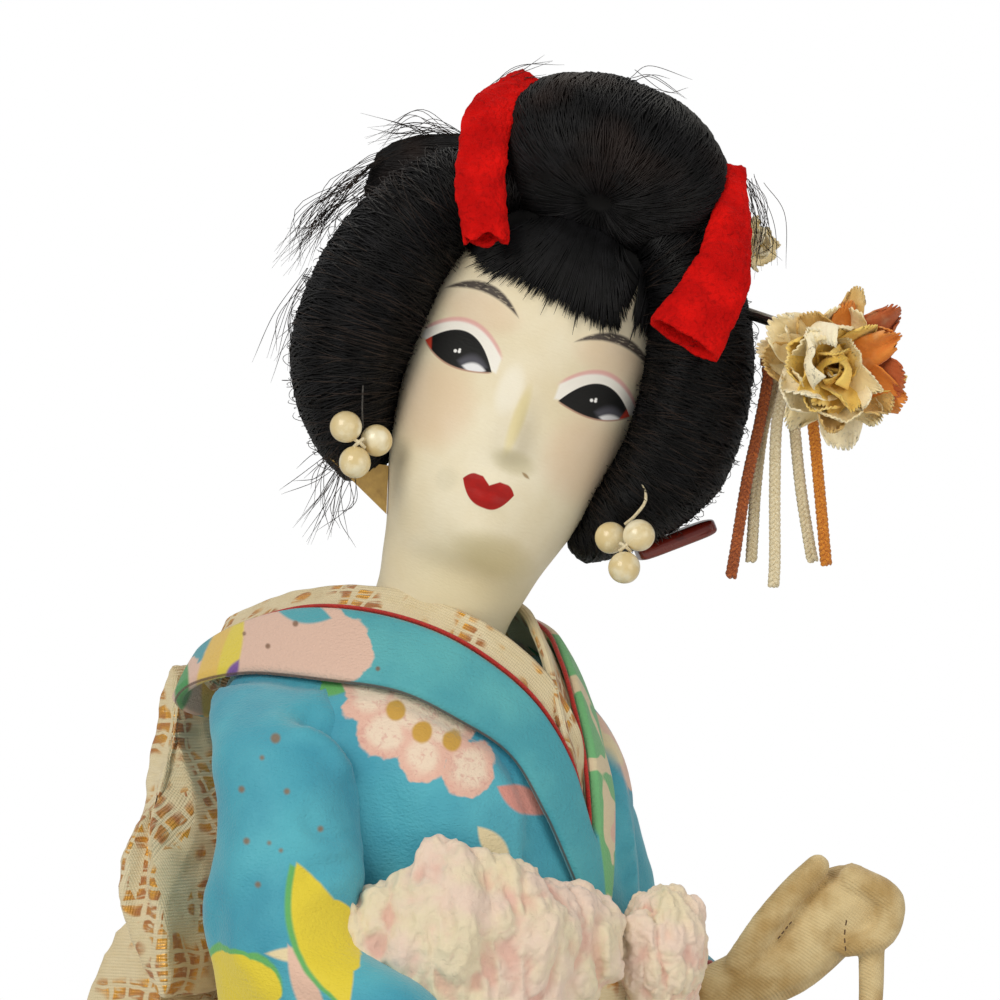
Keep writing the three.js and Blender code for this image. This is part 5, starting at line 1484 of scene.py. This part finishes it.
black_hair = hair_paint("black_hair", srgb(9, 9, 11), srgb(24, 24, 27))
hair_base = hair_paint("hair_base", srgb(7, 7, 8), srgb(14, 14, 16), 0.6)
loose_hair = hair_paint("loose_hair", srgb(24, 20, 19), srgb(62, 50, 44))
chance = np.random.default_rng(12)
HAIR_SHRINK = 0.7
HAIR_POINTS = 12
HAIR_RADIUS = 0.15
HAIR_SIDES = 3
ALL_ROUND = (0, 2 * math.pi)


def hair_taper(share):
    """Thin at both ends of a hair."""
    return np.clip(np.minimum(share, 1 - share) * 9 + 0.35, 0, 1)


def egg_hairs(centre, halves, pole, travel, count, pinch=0.0, wander=0.05):
    """Hairs that run over an egg, away from a pole, as lines on its surface."""
    pole = unit(np.array(pole, float))
    side = unit(np.cross(pole, (0, 0, 1.0) if abs(pole[2]) < 0.8 else (0, 1.0, 0)))
    over = np.cross(side, pole)
    lines = []
    for _ in range(count):
        first = chance.uniform(*ALL_ROUND)
        begin = travel[0] + chance.uniform(0, 0.25) * (travel[1] - travel[0])
        reach = np.linspace(begin, travel[1] - chance.uniform(0, 0.12), HAIR_POINTS)
        turn = first + wander * np.sin(reach * chance.uniform(1, 3) + chance.uniform(0, 6))
        ball = (
            np.cos(reach)[:, None] * pole
            + np.sin(reach)[:, None] * (np.cos(turn)[:, None] * side + np.sin(turn)[:, None] * over)
        )
        lift = 1 - pinch * np.exp(-((reach / 0.4) ** 2))
        proud = chance.uniform(-0.25, 0.3) + 0.15 * np.sin(reach * 7 + first * 9)
        size = np.array(halves) - HAIR_SHRINK + proud[:, None]
        lines.append(np.array(centre) + ball * size * lift[:, None])
    return lines


def hair_mass(name, grid, lines, node):
    """A pad of one form and the hairs brushed over it, as two pieces; the pad stands for the solid."""
    pad = cloth_piece(name + "_pad", in_head(grid), hair_base, around=True, capped=True)
    piece_of("head", "black_hair", pad, node, fill=0.95)
    lines = [in_head(line) for line in lines]
    hairs = strands(name + "_hairs", lines, HAIR_RADIUS, black_hair, HAIR_SIDES, hair_taper)
    return piece_of("head", "black_hair", hairs)


def pinched(grid, centre, halves, pole, depth):
    """Draws an egg in round one pole, where the hair is tied down."""
    ball = unit((grid - centre) / np.array(halves))
    reach = np.arccos(np.clip(ball @ unit(np.array(pole)), -1, 1))
    return centre + (grid - centre) * (1 - depth * np.exp(-((reach / 0.4) ** 2)))[..., None]


def smaller(halves):
    return tuple(half - HAIR_SHRINK - 0.25 for half in halves)


# Middle and half-sizes of each mass, and the place where its hairs start.
FRONT, FRONT_PARTING, FRONT_PINCH = ((1, -3, 74), (20, 15, 14.3)), (0.03, -0.79, -0.61), 0.2
BACK, BACK_CROWN = ((0, 11, 44), (32, 19, 30)), (0, 0.2, 1)
KNOT, KNOT_END = ((-3, 15, 61), (33, 12, 14)), (1, 0, 0)
FRONT_COUNT, BACK_COUNT, KNOT_COUNT, SIDE_COUNT = 2400, 2000, 1900, 2400
front_grid = pinched(egg_grid(FRONT[0], smaller(FRONT[1])), *FRONT, FRONT_PARTING, FRONT_PINCH)
front_hairs = egg_hairs(*FRONT, FRONT_PARTING, (0.12, 2.3), FRONT_COUNT, FRONT_PINCH, 0.1)
hair_mass("front_roll", front_grid, front_hairs, "front_hair_roll")
back_hairs = egg_hairs(*BACK, BACK_CROWN, (0.25, 2.75), BACK_COUNT)
hair_mass("back_roll", egg_grid(BACK[0], smaller(BACK[1])), back_hairs, "back_hair")
knot_hairs = egg_hairs(*KNOT, KNOT_END, (0.2, 2.95), KNOT_COUNT)
hair_mass("wide_knot", egg_grid(KNOT[0], smaller(KNOT[1])), knot_hairs, "top_knot")

# Side rolls, drawn for the left side: place, half-size across and half-depth.
SIDE_ROLL = [
    (9, -1, 67, 4, 8),
    (18, 0, 62, 8, 14),
    (23.8, 1, 52, 9.8, 17),
    (26, 1, 40, 10.4, 17.5),
    (25.5, 1, 30, 9.6, 16),
    (21.5, 2, 21, 7.2, 12),
    (16.5, 4, 14.5, 3.5, 6),
]


def roll_surface(sign, share, turn, grow):
    """Points on a side roll: `share` runs down it, `turn` goes round it."""
    fullness = 1.05 if sign < 0 else 0.97
    rows = np.array(SIDE_ROLL) * (sign * fullness, 1, 1, 1, 1)
    marks = np.arange(200)
    path = smooth_path(rows, len(marks))

    def read(place, columns):
        return np.stack([np.interp(place, marks, path[:, k]) for k in columns], -1)

    place = share * marks[-1]
    row = read(place, range(5))
    along = unit(read(place + 1, (0, 2)) - read(place - 1, (0, 2)))
    ends = np.sqrt(np.clip(np.minimum(share, 1 - share) / 0.03, 0, 1))
    out, deep = (row[..., 3] + grow) * ends, (row[..., 4] + grow) * ends
    if sign > 0:
        cheek = np.maximum(0, np.cos(turn)) * np.exp(-(((share - 0.56) / 0.24) ** 2))
        foot = np.maximum(0, -np.cos(turn)) * np.clip((share - 0.62) / 0.2, 0, 1)
        out = out * (1 - 0.22 * cheek - 0.24 * foot)
    return np.stack(
        [
            row[..., 0] + along[..., 1] * out * np.cos(turn),
            row[..., 1] + deep * np.sin(turn),
            row[..., 2] - along[..., 0] * out * np.cos(turn),
        ],
        -1,
    )


share, turn = np.meshgrid(np.linspace(0.002, 0.998, 90), turns_round(80), indexing="ij")
for side, sign in SIDES.items():
    lines = []
    for _ in range(SIDE_COUNT):
        sweep = np.linspace(chance.uniform(0, 1.2), chance.uniform(3.2, 5.2), HAIR_POINTS)
        across = -sweep if sign > 0 else sweep - math.pi
        drift = chance.uniform(-0.02, 0.05) * sweep + 0.008 * np.sin(sweep * 3 + chance.uniform(0, 6))
        down = np.clip(chance.uniform(0.03, 0.95) + drift, 0.01, 0.99)
        proud = chance.uniform(-0.9, -0.2) + 0.25 * np.sin(sweep * 2 + chance.uniform(0, 6))
        lines.append(roll_surface(sign, down, across, proud))
    hair_mass(side + "_roll", roll_surface(sign, share, turn, -0.95), lines, side + "_hair_roll")

# Fringe: short hairs combed down on the forehead from the parting, cut to a ragged line.
FRINGE_X = [-17, -12, -6, -1, 4, 9, 11.4, 12.2, 13, 19]
FRINGE_Z = [55, 52, 52, 51, 50.2, 49.6, 50, 57, 52, 51]
FRINGE_GAP = 12.3
FRINGE_COUNT, FRINGE_RADIUS = 1900, 0.16
fringe_lines = []
for _ in range(FRINGE_COUNT):
    tip_x = FRINGE_X[0] + (FRINGE_X[-1] - FRINGE_X[0]) * chance.uniform(0, 1)
    tip_z = np.interp(tip_x, FRINGE_X, FRINGE_Z) + 0.8 * abs(math.sin(tip_x * 2.1))
    tip_z += chance.normal(0, 0.6) - chance.exponential(0.5)
    root_x = 1.2 + (tip_x - 1.2) * chance.uniform(0.3, 0.55)
    root_z = 66 - 0.02 * tip_x**2 + chance.uniform(-2, 0.5)
    if tip_x > FRINGE_GAP:
        root_x, root_z = tip_x - chance.uniform(0.2, 1.6), chance.uniform(59, 63)
    down = np.linspace(0, 1, 10)
    x = root_x + (tip_x - root_x) * down**1.25
    z = root_z + (tip_z - root_z) * down
    y = head_front(x, z) - 0.35 - chance.uniform(0, 0.9) * np.sin(math.pi * (0.15 + 0.75 * down))
    fringe_lines.append(in_head(np.stack([x, y, z], 1)))


def cut_taper(share):
    """Full at the root and thin at the cut end."""
    return np.clip((1 - share) * 4 + 0.15, 0, 1)


fringe = strands("combed_fringe", fringe_lines, FRINGE_RADIUS, black_hair, HAIR_SIDES, cut_taper)
piece_of("head", "black_hair", fringe, "fringe")

# Loose hairs: the way of each group in X and Z, its depth and how many. They lie close along the wig.
LOOSE = [
    ([(5.5, 408.6), (0, 410.6), (-4, 411.4), (-9.7, 410)], 14, 26),
    ([(3.1, 408), (-6.2, 407.6), (-14, 403.4), (-20.3, 397.4), (-24.2, 391)], 14, 34),
    ([(-12, 402), (-18, 398), (-21, 393)], 12, 16),
    ([(-20, 388), (-24, 381), (-26, 374)], 4, 14),
    ([(-14.8, 360.6), (-17.2, 355.3), (-20.3, 349)], -4, 14),
    ([(-14, 357.6), (-14.8, 352.1), (-15.6, 347.5)], -4, 10),
    ([(-15.6, 360), (-19, 357.6), (-22.3, 355.3)], -3, 8),
    ([(48.4, 402), (51, 396), (50.4, 389.6)], 2, 26),
    ([(29, 418.2), (33, 418.4), (37.4, 416.6)], -4, 7),
    ([(6, 414), (11, 418.6), (17, 420.4)], -2, 8),
]
STRAY_RADIUS = 0.06
loose_lines = []
for way, depth, count in LOOSE:
    for _ in range(count):
        points = np.array([(x, depth, z) for x, z in way])
        loosened = np.linspace(0.5, 1.9, len(way))[:, None]
        points = points + chance.normal(0, 0.9, points.shape) * loosened + chance.normal(0, 0.8, 3)
        loose_lines.append(smooth_path(points, 18))
# Fuzz: short hairs that stand a little off the two side rolls.
FUZZ_COUNT, FUZZ_POINTS = 260, 10
for sign in SIDES.values():
    for _ in range(FUZZ_COUNT):
        sweep = np.linspace(0, chance.uniform(0.5, 1.3), FUZZ_POINTS) + chance.uniform(0.2, 3.4)
        across = -sweep if sign > 0 else sweep - math.pi
        away = chance.uniform(0.1, 1.5) * np.sin(np.linspace(0.2, 2.6, FUZZ_POINTS))
        slide = chance.uniform(0.1, 0.92) + chance.normal(0, 0.02) * np.linspace(0, 1, FUZZ_POINTS)
        loose_lines.append(in_head(roll_surface(sign, np.clip(slide, 0.01, 0.99), across, away)))


def stray_taper(share):
    """Thins out over the last quarter of a hair."""
    return np.clip((1 - share) * 3 + 0.3, 0, 1)


strays = strands("loose_hairs", loose_lines, STRAY_RADIUS, loose_hair, HAIR_SIDES, stray_taper)
piece_of("head", "black_hair", strays)


# Ribbons: two bands of crinkled red crepe, folded double and wound round the front roll. The left one
# ends in an open roll, and the right one is cut ragged.
def red_crepe_paint():
    """Bright red crepe with a pebbled, crinkled grain, and painted shade along the crinkles."""
    paint = Paint("red_crepe")
    pebble = paint.cells(0.75 * MM, spread=1.0)
    crinkle = paint.noise(0.9 * MM, detail=3.0, warp=0.8)
    shade = paint.noise(5 * MM, detail=3.0)
    tone = paint.mix(shade.step(0.3, 0.75), srgb(188, 4, 3), srgb(226, 14, 8))
    # Painted shade: a deeper red along the crinkles, from the same noise that shapes their bump.
    tone = paint.mix(crinkle.step(0.5, 0.8) * 0.55, tone, srgb(132, 0, 0))
    return paint.finish(tone, 0.9, crinkle - pebble * 0.6, 0.36, specular_ior_level=0.15)


red_crepe = red_crepe_paint()
# Middle of the band and its half-width, from the top of the wig down to its end.
RIBBONS = {
    "right": [(-14.5, -3, 82, 3.4), (-19, -9.5, 74.5, 4), (-17, -15.5, 64, 4), (-13, -19, 55.5, 3.6)],
    "left": [(19.5, -3, 80, 2), (22, -10, 71, 3.4), (23, -15.5, 62, 5), (21.2, -19.4, 51.4, 6)],
}
RIBBON_HALF = 1.6
RIBBON_WALL = 0.75
RIBBON_LAST = 69
# How far each end stands open, and how far its edge runs out round the opening.
RIBBON_OPENS = {"right": 0.15, "left": 0.85}
RIBBON_EDGES = {"right": lambda turn: 0.5 * np.sin(turn * 5), "left": lambda turn: 0.35 * np.cos(turn)}
for side, stations in RIBBONS.items():
    path = smooth_path(stations, RIBBON_LAST + 1)
    along = unit(np.gradient(path[:, :3], axis=0))
    over = unit(np.cross((1.0, 0, 0), along))
    across = np.cross(along, over)
    turn = turns_round(110)
    flat_round = np.sign(np.cos(turn)) * np.abs(np.cos(turn)) ** 0.75
    # The band, then its inside as far as the open end shows it.
    shape = [(i, 0.0) for i in range(RIBBON_LAST + 1)] + [(RIBBON_LAST, 0.5)]
    shape += [(i, RIBBON_WALL) for i in range(RIBBON_LAST - 1, RIBBON_LAST - 13, -1)]
    rows = []
    for i, inside in shape:
        share = i / RIBBON_LAST
        half = path[i, 3] - inside
        thick = RIBBON_HALF * (1.0 + RIBBON_OPENS[side] * share**4) - inside
        torn = RIBBON_EDGES[side](turn) * share**8
        ring = path[i, :3] + half * flat_round[:, None] * across[i] + thick * np.sin(turn)[:, None] * over[i]
        rows.append(ring + torn[:, None] * along[i])
    band = cloth_piece(side + "_crepe_ribbon", in_head(np.array(rows)), red_crepe, around=True, capped=True)
    rumple(band, 4, 0.4, seed=21)
    rumple(band, 1.5, 0.16, "ridged", seed=22, turns=2)
    piece_of("head", "red_crepe", band, side + "_hair_ribbon", fill=0.5)

# Card and comb: gilt card lines the right side roll, and a red-brown lacquer comb is pushed in under the
# left one. Both edges are worn.
gilt = Paint("gilt_card")
foil = gilt.noise(1.4 * MM, detail=4.0)
gilt.feed(gilt.shader.inputs["Metallic"], foil.step(0.3, 0.6) * 0.5)
gilt.finish(gilt.mix(foil, srgb(150, 112, 52), srgb(226, 190, 116)), 0.55 - foil * 0.15, foil, 0.12)
dress("hair_card", gilt)
COMB_PLACE = np.array([31.4, 10, 22])
COMB_WIDE, COMB_LONG, COMB_THICK = 14, 22, 2.6
COMB_LEAN = math.radians(-41)
comb_lacquer = Paint("comb_lacquer")
rubbed = comb_lacquer.noise(1.8 * MM, detail=4.0)
comb_lacquer.finish(
    comb_lacquer.mix(rubbed.step(0.55, 0.8), srgb(116, 30, 18), srgb(64, 14, 10)),
    rubbed * 0.2 + 0.2,
    rubbed,
    0.03,
    coat_weight=0.5,
)
turn = turns_round(60)
box = np.stack([np.cos(turn), np.sin(turn)], 1)
box = np.sign(box) * np.abs(box) ** 0.35
c, s = math.cos(COMB_LEAN), math.sin(COMB_LEAN)
bar_rows = []
for share in np.linspace(-1, 1, 40):
    end = (1 - min(1, max(0.0, abs(share) - 0.9) / 0.1) ** 2) ** 0.5
    bowed = 1 - 0.06 * share**2
    x = box[:, 0] * (COMB_WIDE / 2 - 0.2) * bowed * (0.92 + 0.08 * end)
    z = box[:, 1] * COMB_THICK / 2 * (0.55 + 0.45 * end)
    y = np.full(len(turn), share * COMB_LONG / 2)
    bar_rows.append(np.stack([c * x + s * z, y, -s * x + c * z], 1) + COMB_PLACE)
comb = cloth_piece("lacquer_comb", in_head(np.array(bar_rows)), comb_lacquer, around=True, capped=True)
piece_of("head", "comb_lacquer", comb, "hair_comb")

# Pearl drops: three glass pearls with a pearly coat, tied in a cluster on a cotton thread. One cluster hangs
# out of the hair by each cheek, and the coat of the pearls is worn.
BEAD_RADIUS = 2.5
# Each drop's thread and the middles of its pearls.
DROPS = {
    "right": (
        [(-12, -11.2, 370), (-12.1, -11.4, 366.6), (-12, -11.2, 363.4)],
        [(-14.6, -13.4, 363.5), (-9.9, -11.2, 361.4), (-13.2, -13.4, 358)],
    ),
    "left": (
        [(31, -11, 356), (32.2, -11.6, 352.4), (30.6, -11.6, 349.8), (28.9, -10.95, 348.3)],
        [(31, -14.6, 346.6), (26.7, -11.6, 346.2), (28.7, -16, 341.6)],
    ),
}
pearl = Paint("glass_pearl")
nacre = pearl.noise(3.4 * MM, detail=3.0)
worn = pearl.noise(0.9 * MM, detail=3.0)
tone = pearl.mix(nacre.step(0.35, 0.7), srgb(222, 200, 148), srgb(244, 236, 208))
tone = pearl.mix(worn.step(0.68, 0.8) * 0.5, tone, srgb(190, 156, 96))
pearl.finish(tone, nacre * 0.15 + 0.2, worn, 0.02, coat_weight=0.4)
dark_thread = thread_paint("dark_cotton", srgb(36, 34, 34), srgb(84, 80, 76))
DROP_THREADS = {"right": (0.14, dark_thread), "left": (0.25, cream_thread)}
# The knot where the thread holds the pearls together: two stitches that cross.
TIES = [
    [(-0.8, -1.2, 0.6), (0.2, -1.8, 0), (0.9, -1, -0.7)],
    [(0.7, -1.2, 0.7), (0, -1.9, 0.1), (-0.8, -1.1, -0.6)],
]
TIE_RADIUS = 0.28
for side, (thread, beads) in DROPS.items():
    strand = strands(side + "_drop_cotton", [smooth_path(thread, 12)], *DROP_THREADS[side], 6)
    piece_of(side + "_drop", "cream_cord", strand, side + "_drop_thread")
    for number, centre in enumerate(beads, 1):
        ball = egg_grid(centre, (BEAD_RADIUS,) * 3, 36, 56)
        bead = cloth_piece(f"{side}_pearl_{number}", ball, pearl, True, True)
        rumple(bead, 3, 0.07, seed=number, turns=1)
        piece_of(side + "_drop", "pearl", bead, f"{side}_drop_bead_{number}")
    heart = np.mean(beads, 0)
    ties = [smooth_path([heart + offset for offset in tie], 10) for tie in TIES]
    piece_of(side + "_drop", "cream_cord", strands(side + "_drop_tie", ties, TIE_RADIUS, cream_thread, 6))


# Flower: petals of stiffened cloth, cream, yellow and orange, cut with pinking shears and curled round a
# wire pin. A smaller cream blossom is sewn on behind the left ribbon.
def petal_paint():
    """Stiffened cloth in the dye that each petal carries, with grey specks where it is lacy."""
    paint = Paint("petal_cloth")
    dye = paint.node("ShaderNodeAttribute", {"attribute_name": "dye"}, output="Color")
    lacy = paint.node("ShaderNodeAttribute", {"attribute_name": "dye"}, output="Alpha")
    vein = paint.noise(0.9 * MM, detail=3.0, warp=1.2)
    patch = paint.noise(4 * MM, detail=2.0)
    tone = paint.mix(patch.step(0.52, 0.75) * 0.4, dye, srgb(238, 222, 174))
    tone = paint.mix(vein.step(0.5, 0.8) * 0.14, tone, srgb(184, 146, 84))
    specks = paint.noise(0.6 * MM, detail=2.0).step(0.58, 0.66)
    tone = paint.mix(specks * lacy * 0.75, tone, srgb(112, 108, 96))
    return paint.finish(tone, 0.75, vein, 0.14, sheen_weight=0.15)


PETAL_ROWS, PETAL_COLUMNS = 22, 25
PETAL_WALL = 0.25


def petal_grid(reach, width, curl, seed):
    """One petal that grows up Z, curls forward and has a pinked, wavy tip."""
    wave = np.random.default_rng(seed)
    s = np.linspace(0, 1, PETAL_ROWS)[:, None]
    c = np.linspace(-1, 1, PETAL_COLUMNS)[None, :]
    half = width * np.sin(math.pi * (0.12 + 0.62 * s)) * (1 + 0.08 * wave.normal())
    pinked = 0.045 * reach * s**6 * (np.abs(np.mod(c * 4 + 0.5, 1) - 0.5) * 4 - 1)
    ruffle = 0.08 * reach * s**2 * np.sin(c * wave.uniform(2.5, 5) + wave.uniform(0, 6))
    cup = 0.2 * width * c**2 * wave.uniform(-0.2, 1.2)
    # The petal bends through `curl` radians, most of it near its tip.
    bend = curl * s**2
    step = reach / (PETAL_ROWS - 1)
    up = np.cumsum(np.cos(bend), 0) * step
    ahead = np.cumsum(np.sin(bend), 0) * step
    twist = wave.uniform(-0.9, 0.9) * s
    x = half * c * np.cos(twist) + 0.06 * reach * s**2 * wave.normal()
    z = up * (1 - 0.12 * c**2) + pinked * np.cos(bend) - 0.8
    return np.stack([x, half * c * np.sin(twist) - ahead - ruffle - cup, z], -1)


def spun(grid, first, second, angle):
    """Turns points in the plane of two of their axes, by degrees."""
    made = grid.copy()
    c, s = math.cos(math.radians(angle)), math.sin(math.radians(angle))
    made[..., first] = c * grid[..., first] - s * grid[..., second]
    made[..., second] = s * grid[..., first] + c * grid[..., second]
    return made


def bloom(name, centre, petals, paint, seed, facing=0.0):
    """Petals of [turn from the top, reach, half-width, lean forward, curl, dye, lace] as one piece."""
    grids, dyes = [], []
    for number, (turn, reach, width, lean, curl, dye, lace) in enumerate(petals):
        grid = spun(petal_grid(reach, width, curl, seed + number), 1, 2, lean)
        grids.append(spun(spun(grid, 0, 2, -turn), 0, 1, facing) + in_head(centre))
        edge = np.linspace(0, 1, len(grid))[:, None] ** 2 + 0 * grid[..., 0]
        dyed = np.broadcast_to(dye[:3], grid.shape)
        dyes.append(np.concatenate([dyed, lace * edge[..., None]], -1).reshape(-1, 4))
    made = cloth_piece(name, grids, paint)
    dyed = made.data.attributes.new("dye", "FLOAT_COLOR", "POINT")
    dyed.data.foreach_set("color", np.vstack(dyes).ravel())
    rumple(made, 2.4, 0.3, seed=seed, turns=2)
    return thicken(made, PETAL_WALL)


petal_cloth = petal_paint()
CREAM_PETAL, PALE_PETAL, TAN_PETAL = srgb(250, 234, 190), srgb(255, 245, 214), srgb(222, 184, 112)
YELLOW_PETAL, OLIVE_PETAL = srgb(248, 212, 112), srgb(220, 180, 76)
ORANGE_PETAL, RUST_PETAL = srgb(226, 136, 50), srgb(186, 92, 42)
FLOWER = np.array([45, -13.5, 55.5])
# Rings of petals: how many, reach, half-width, lean, and the dyes of the flower's warm side and of the rest.
RINGS = [
    (15, 13, 3.7, 2, (RUST_PETAL, ORANGE_PETAL), (CREAM_PETAL, PALE_PETAL, TAN_PETAL)),
    (12, 11.8, 3.5, 24, (ORANGE_PETAL, YELLOW_PETAL), (CREAM_PETAL, YELLOW_PETAL, PALE_PETAL)),
    (9, 9.4, 3.2, 44, (YELLOW_PETAL, CREAM_PETAL), (YELLOW_PETAL, OLIVE_PETAL)),
    (6, 6.8, 2.6, 60, (YELLOW_PETAL,), (OLIVE_PETAL,)),
]
FLOWER_PETALS = [
    # The petals that stand out: broad and lacy ones on the left, one rolled, one pointed, and one in front.
    (-50, 14, 4.8, 14, 0.5, CREAM_PETAL, 0),
    (-74, 12.6, 5.4, 32, 1.6, PALE_PETAL, 1),
    (-19, 15.5, 3.2, 8, 3.0, PALE_PETAL, 0),
    (12, 13.4, 2.1, 4, 0.1, TAN_PETAL, 0),
    (190, 6.4, 1.4, 58, 0.9, PALE_PETAL, 0),
]
WARM_SIDE = (15, 128)
petal_draw = np.random.default_rng(31)
for count, reach, width, lean, warm, pale in RINGS:
    for i in range(count):
        turn = 360 * i / count + petal_draw.uniform(-9, 9)
        dyes = warm if WARM_SIDE[0] < turn < WARM_SIDE[1] else pale
        size, broad = petal_draw.uniform(0.88, 1.08), petal_draw.uniform(0.75, 1.25)
        tip, curl = petal_draw.uniform(-9, 9), petal_draw.uniform(-0.4, 1.7)
        lace = petal_draw.uniform(0, 0.8) if WARM_SIDE[1] <= turn < 330 else 0
        petal = (turn, reach * size, width * broad, lean + tip, curl, dyes[i % len(dyes)], lace)
        FLOWER_PETALS.append(petal)
piece_of("flower", "cream_petal", bloom("cloth_flower", FLOWER, FLOWER_PETALS, petal_cloth, 40), "flower")
BLOSSOM = np.array([26, 3, 70])
BLOSSOM_PETALS = [(60 * i + 8 * (i % 2), 5.6, 2.5, 6, 0.8, CREAM_PETAL, 0) for i in range(6)]
BLOSSOM_PETALS += [(72 * i + 30, 4.4, 2.1, 40, 1.0, PALE_PETAL, 0.3) for i in range(5)]
BLOSSOM_PETALS += [(90 * i, 2.8, 1.5, 66, 0.6, YELLOW_PETAL, 0) for i in range(4)]
blossom = bloom("small_cloth_blossom", BLOSSOM, BLOSSOM_PETALS, petal_cloth, 70, 50)
piece_of("head", "cream_petal", blossom, "small_blossom")
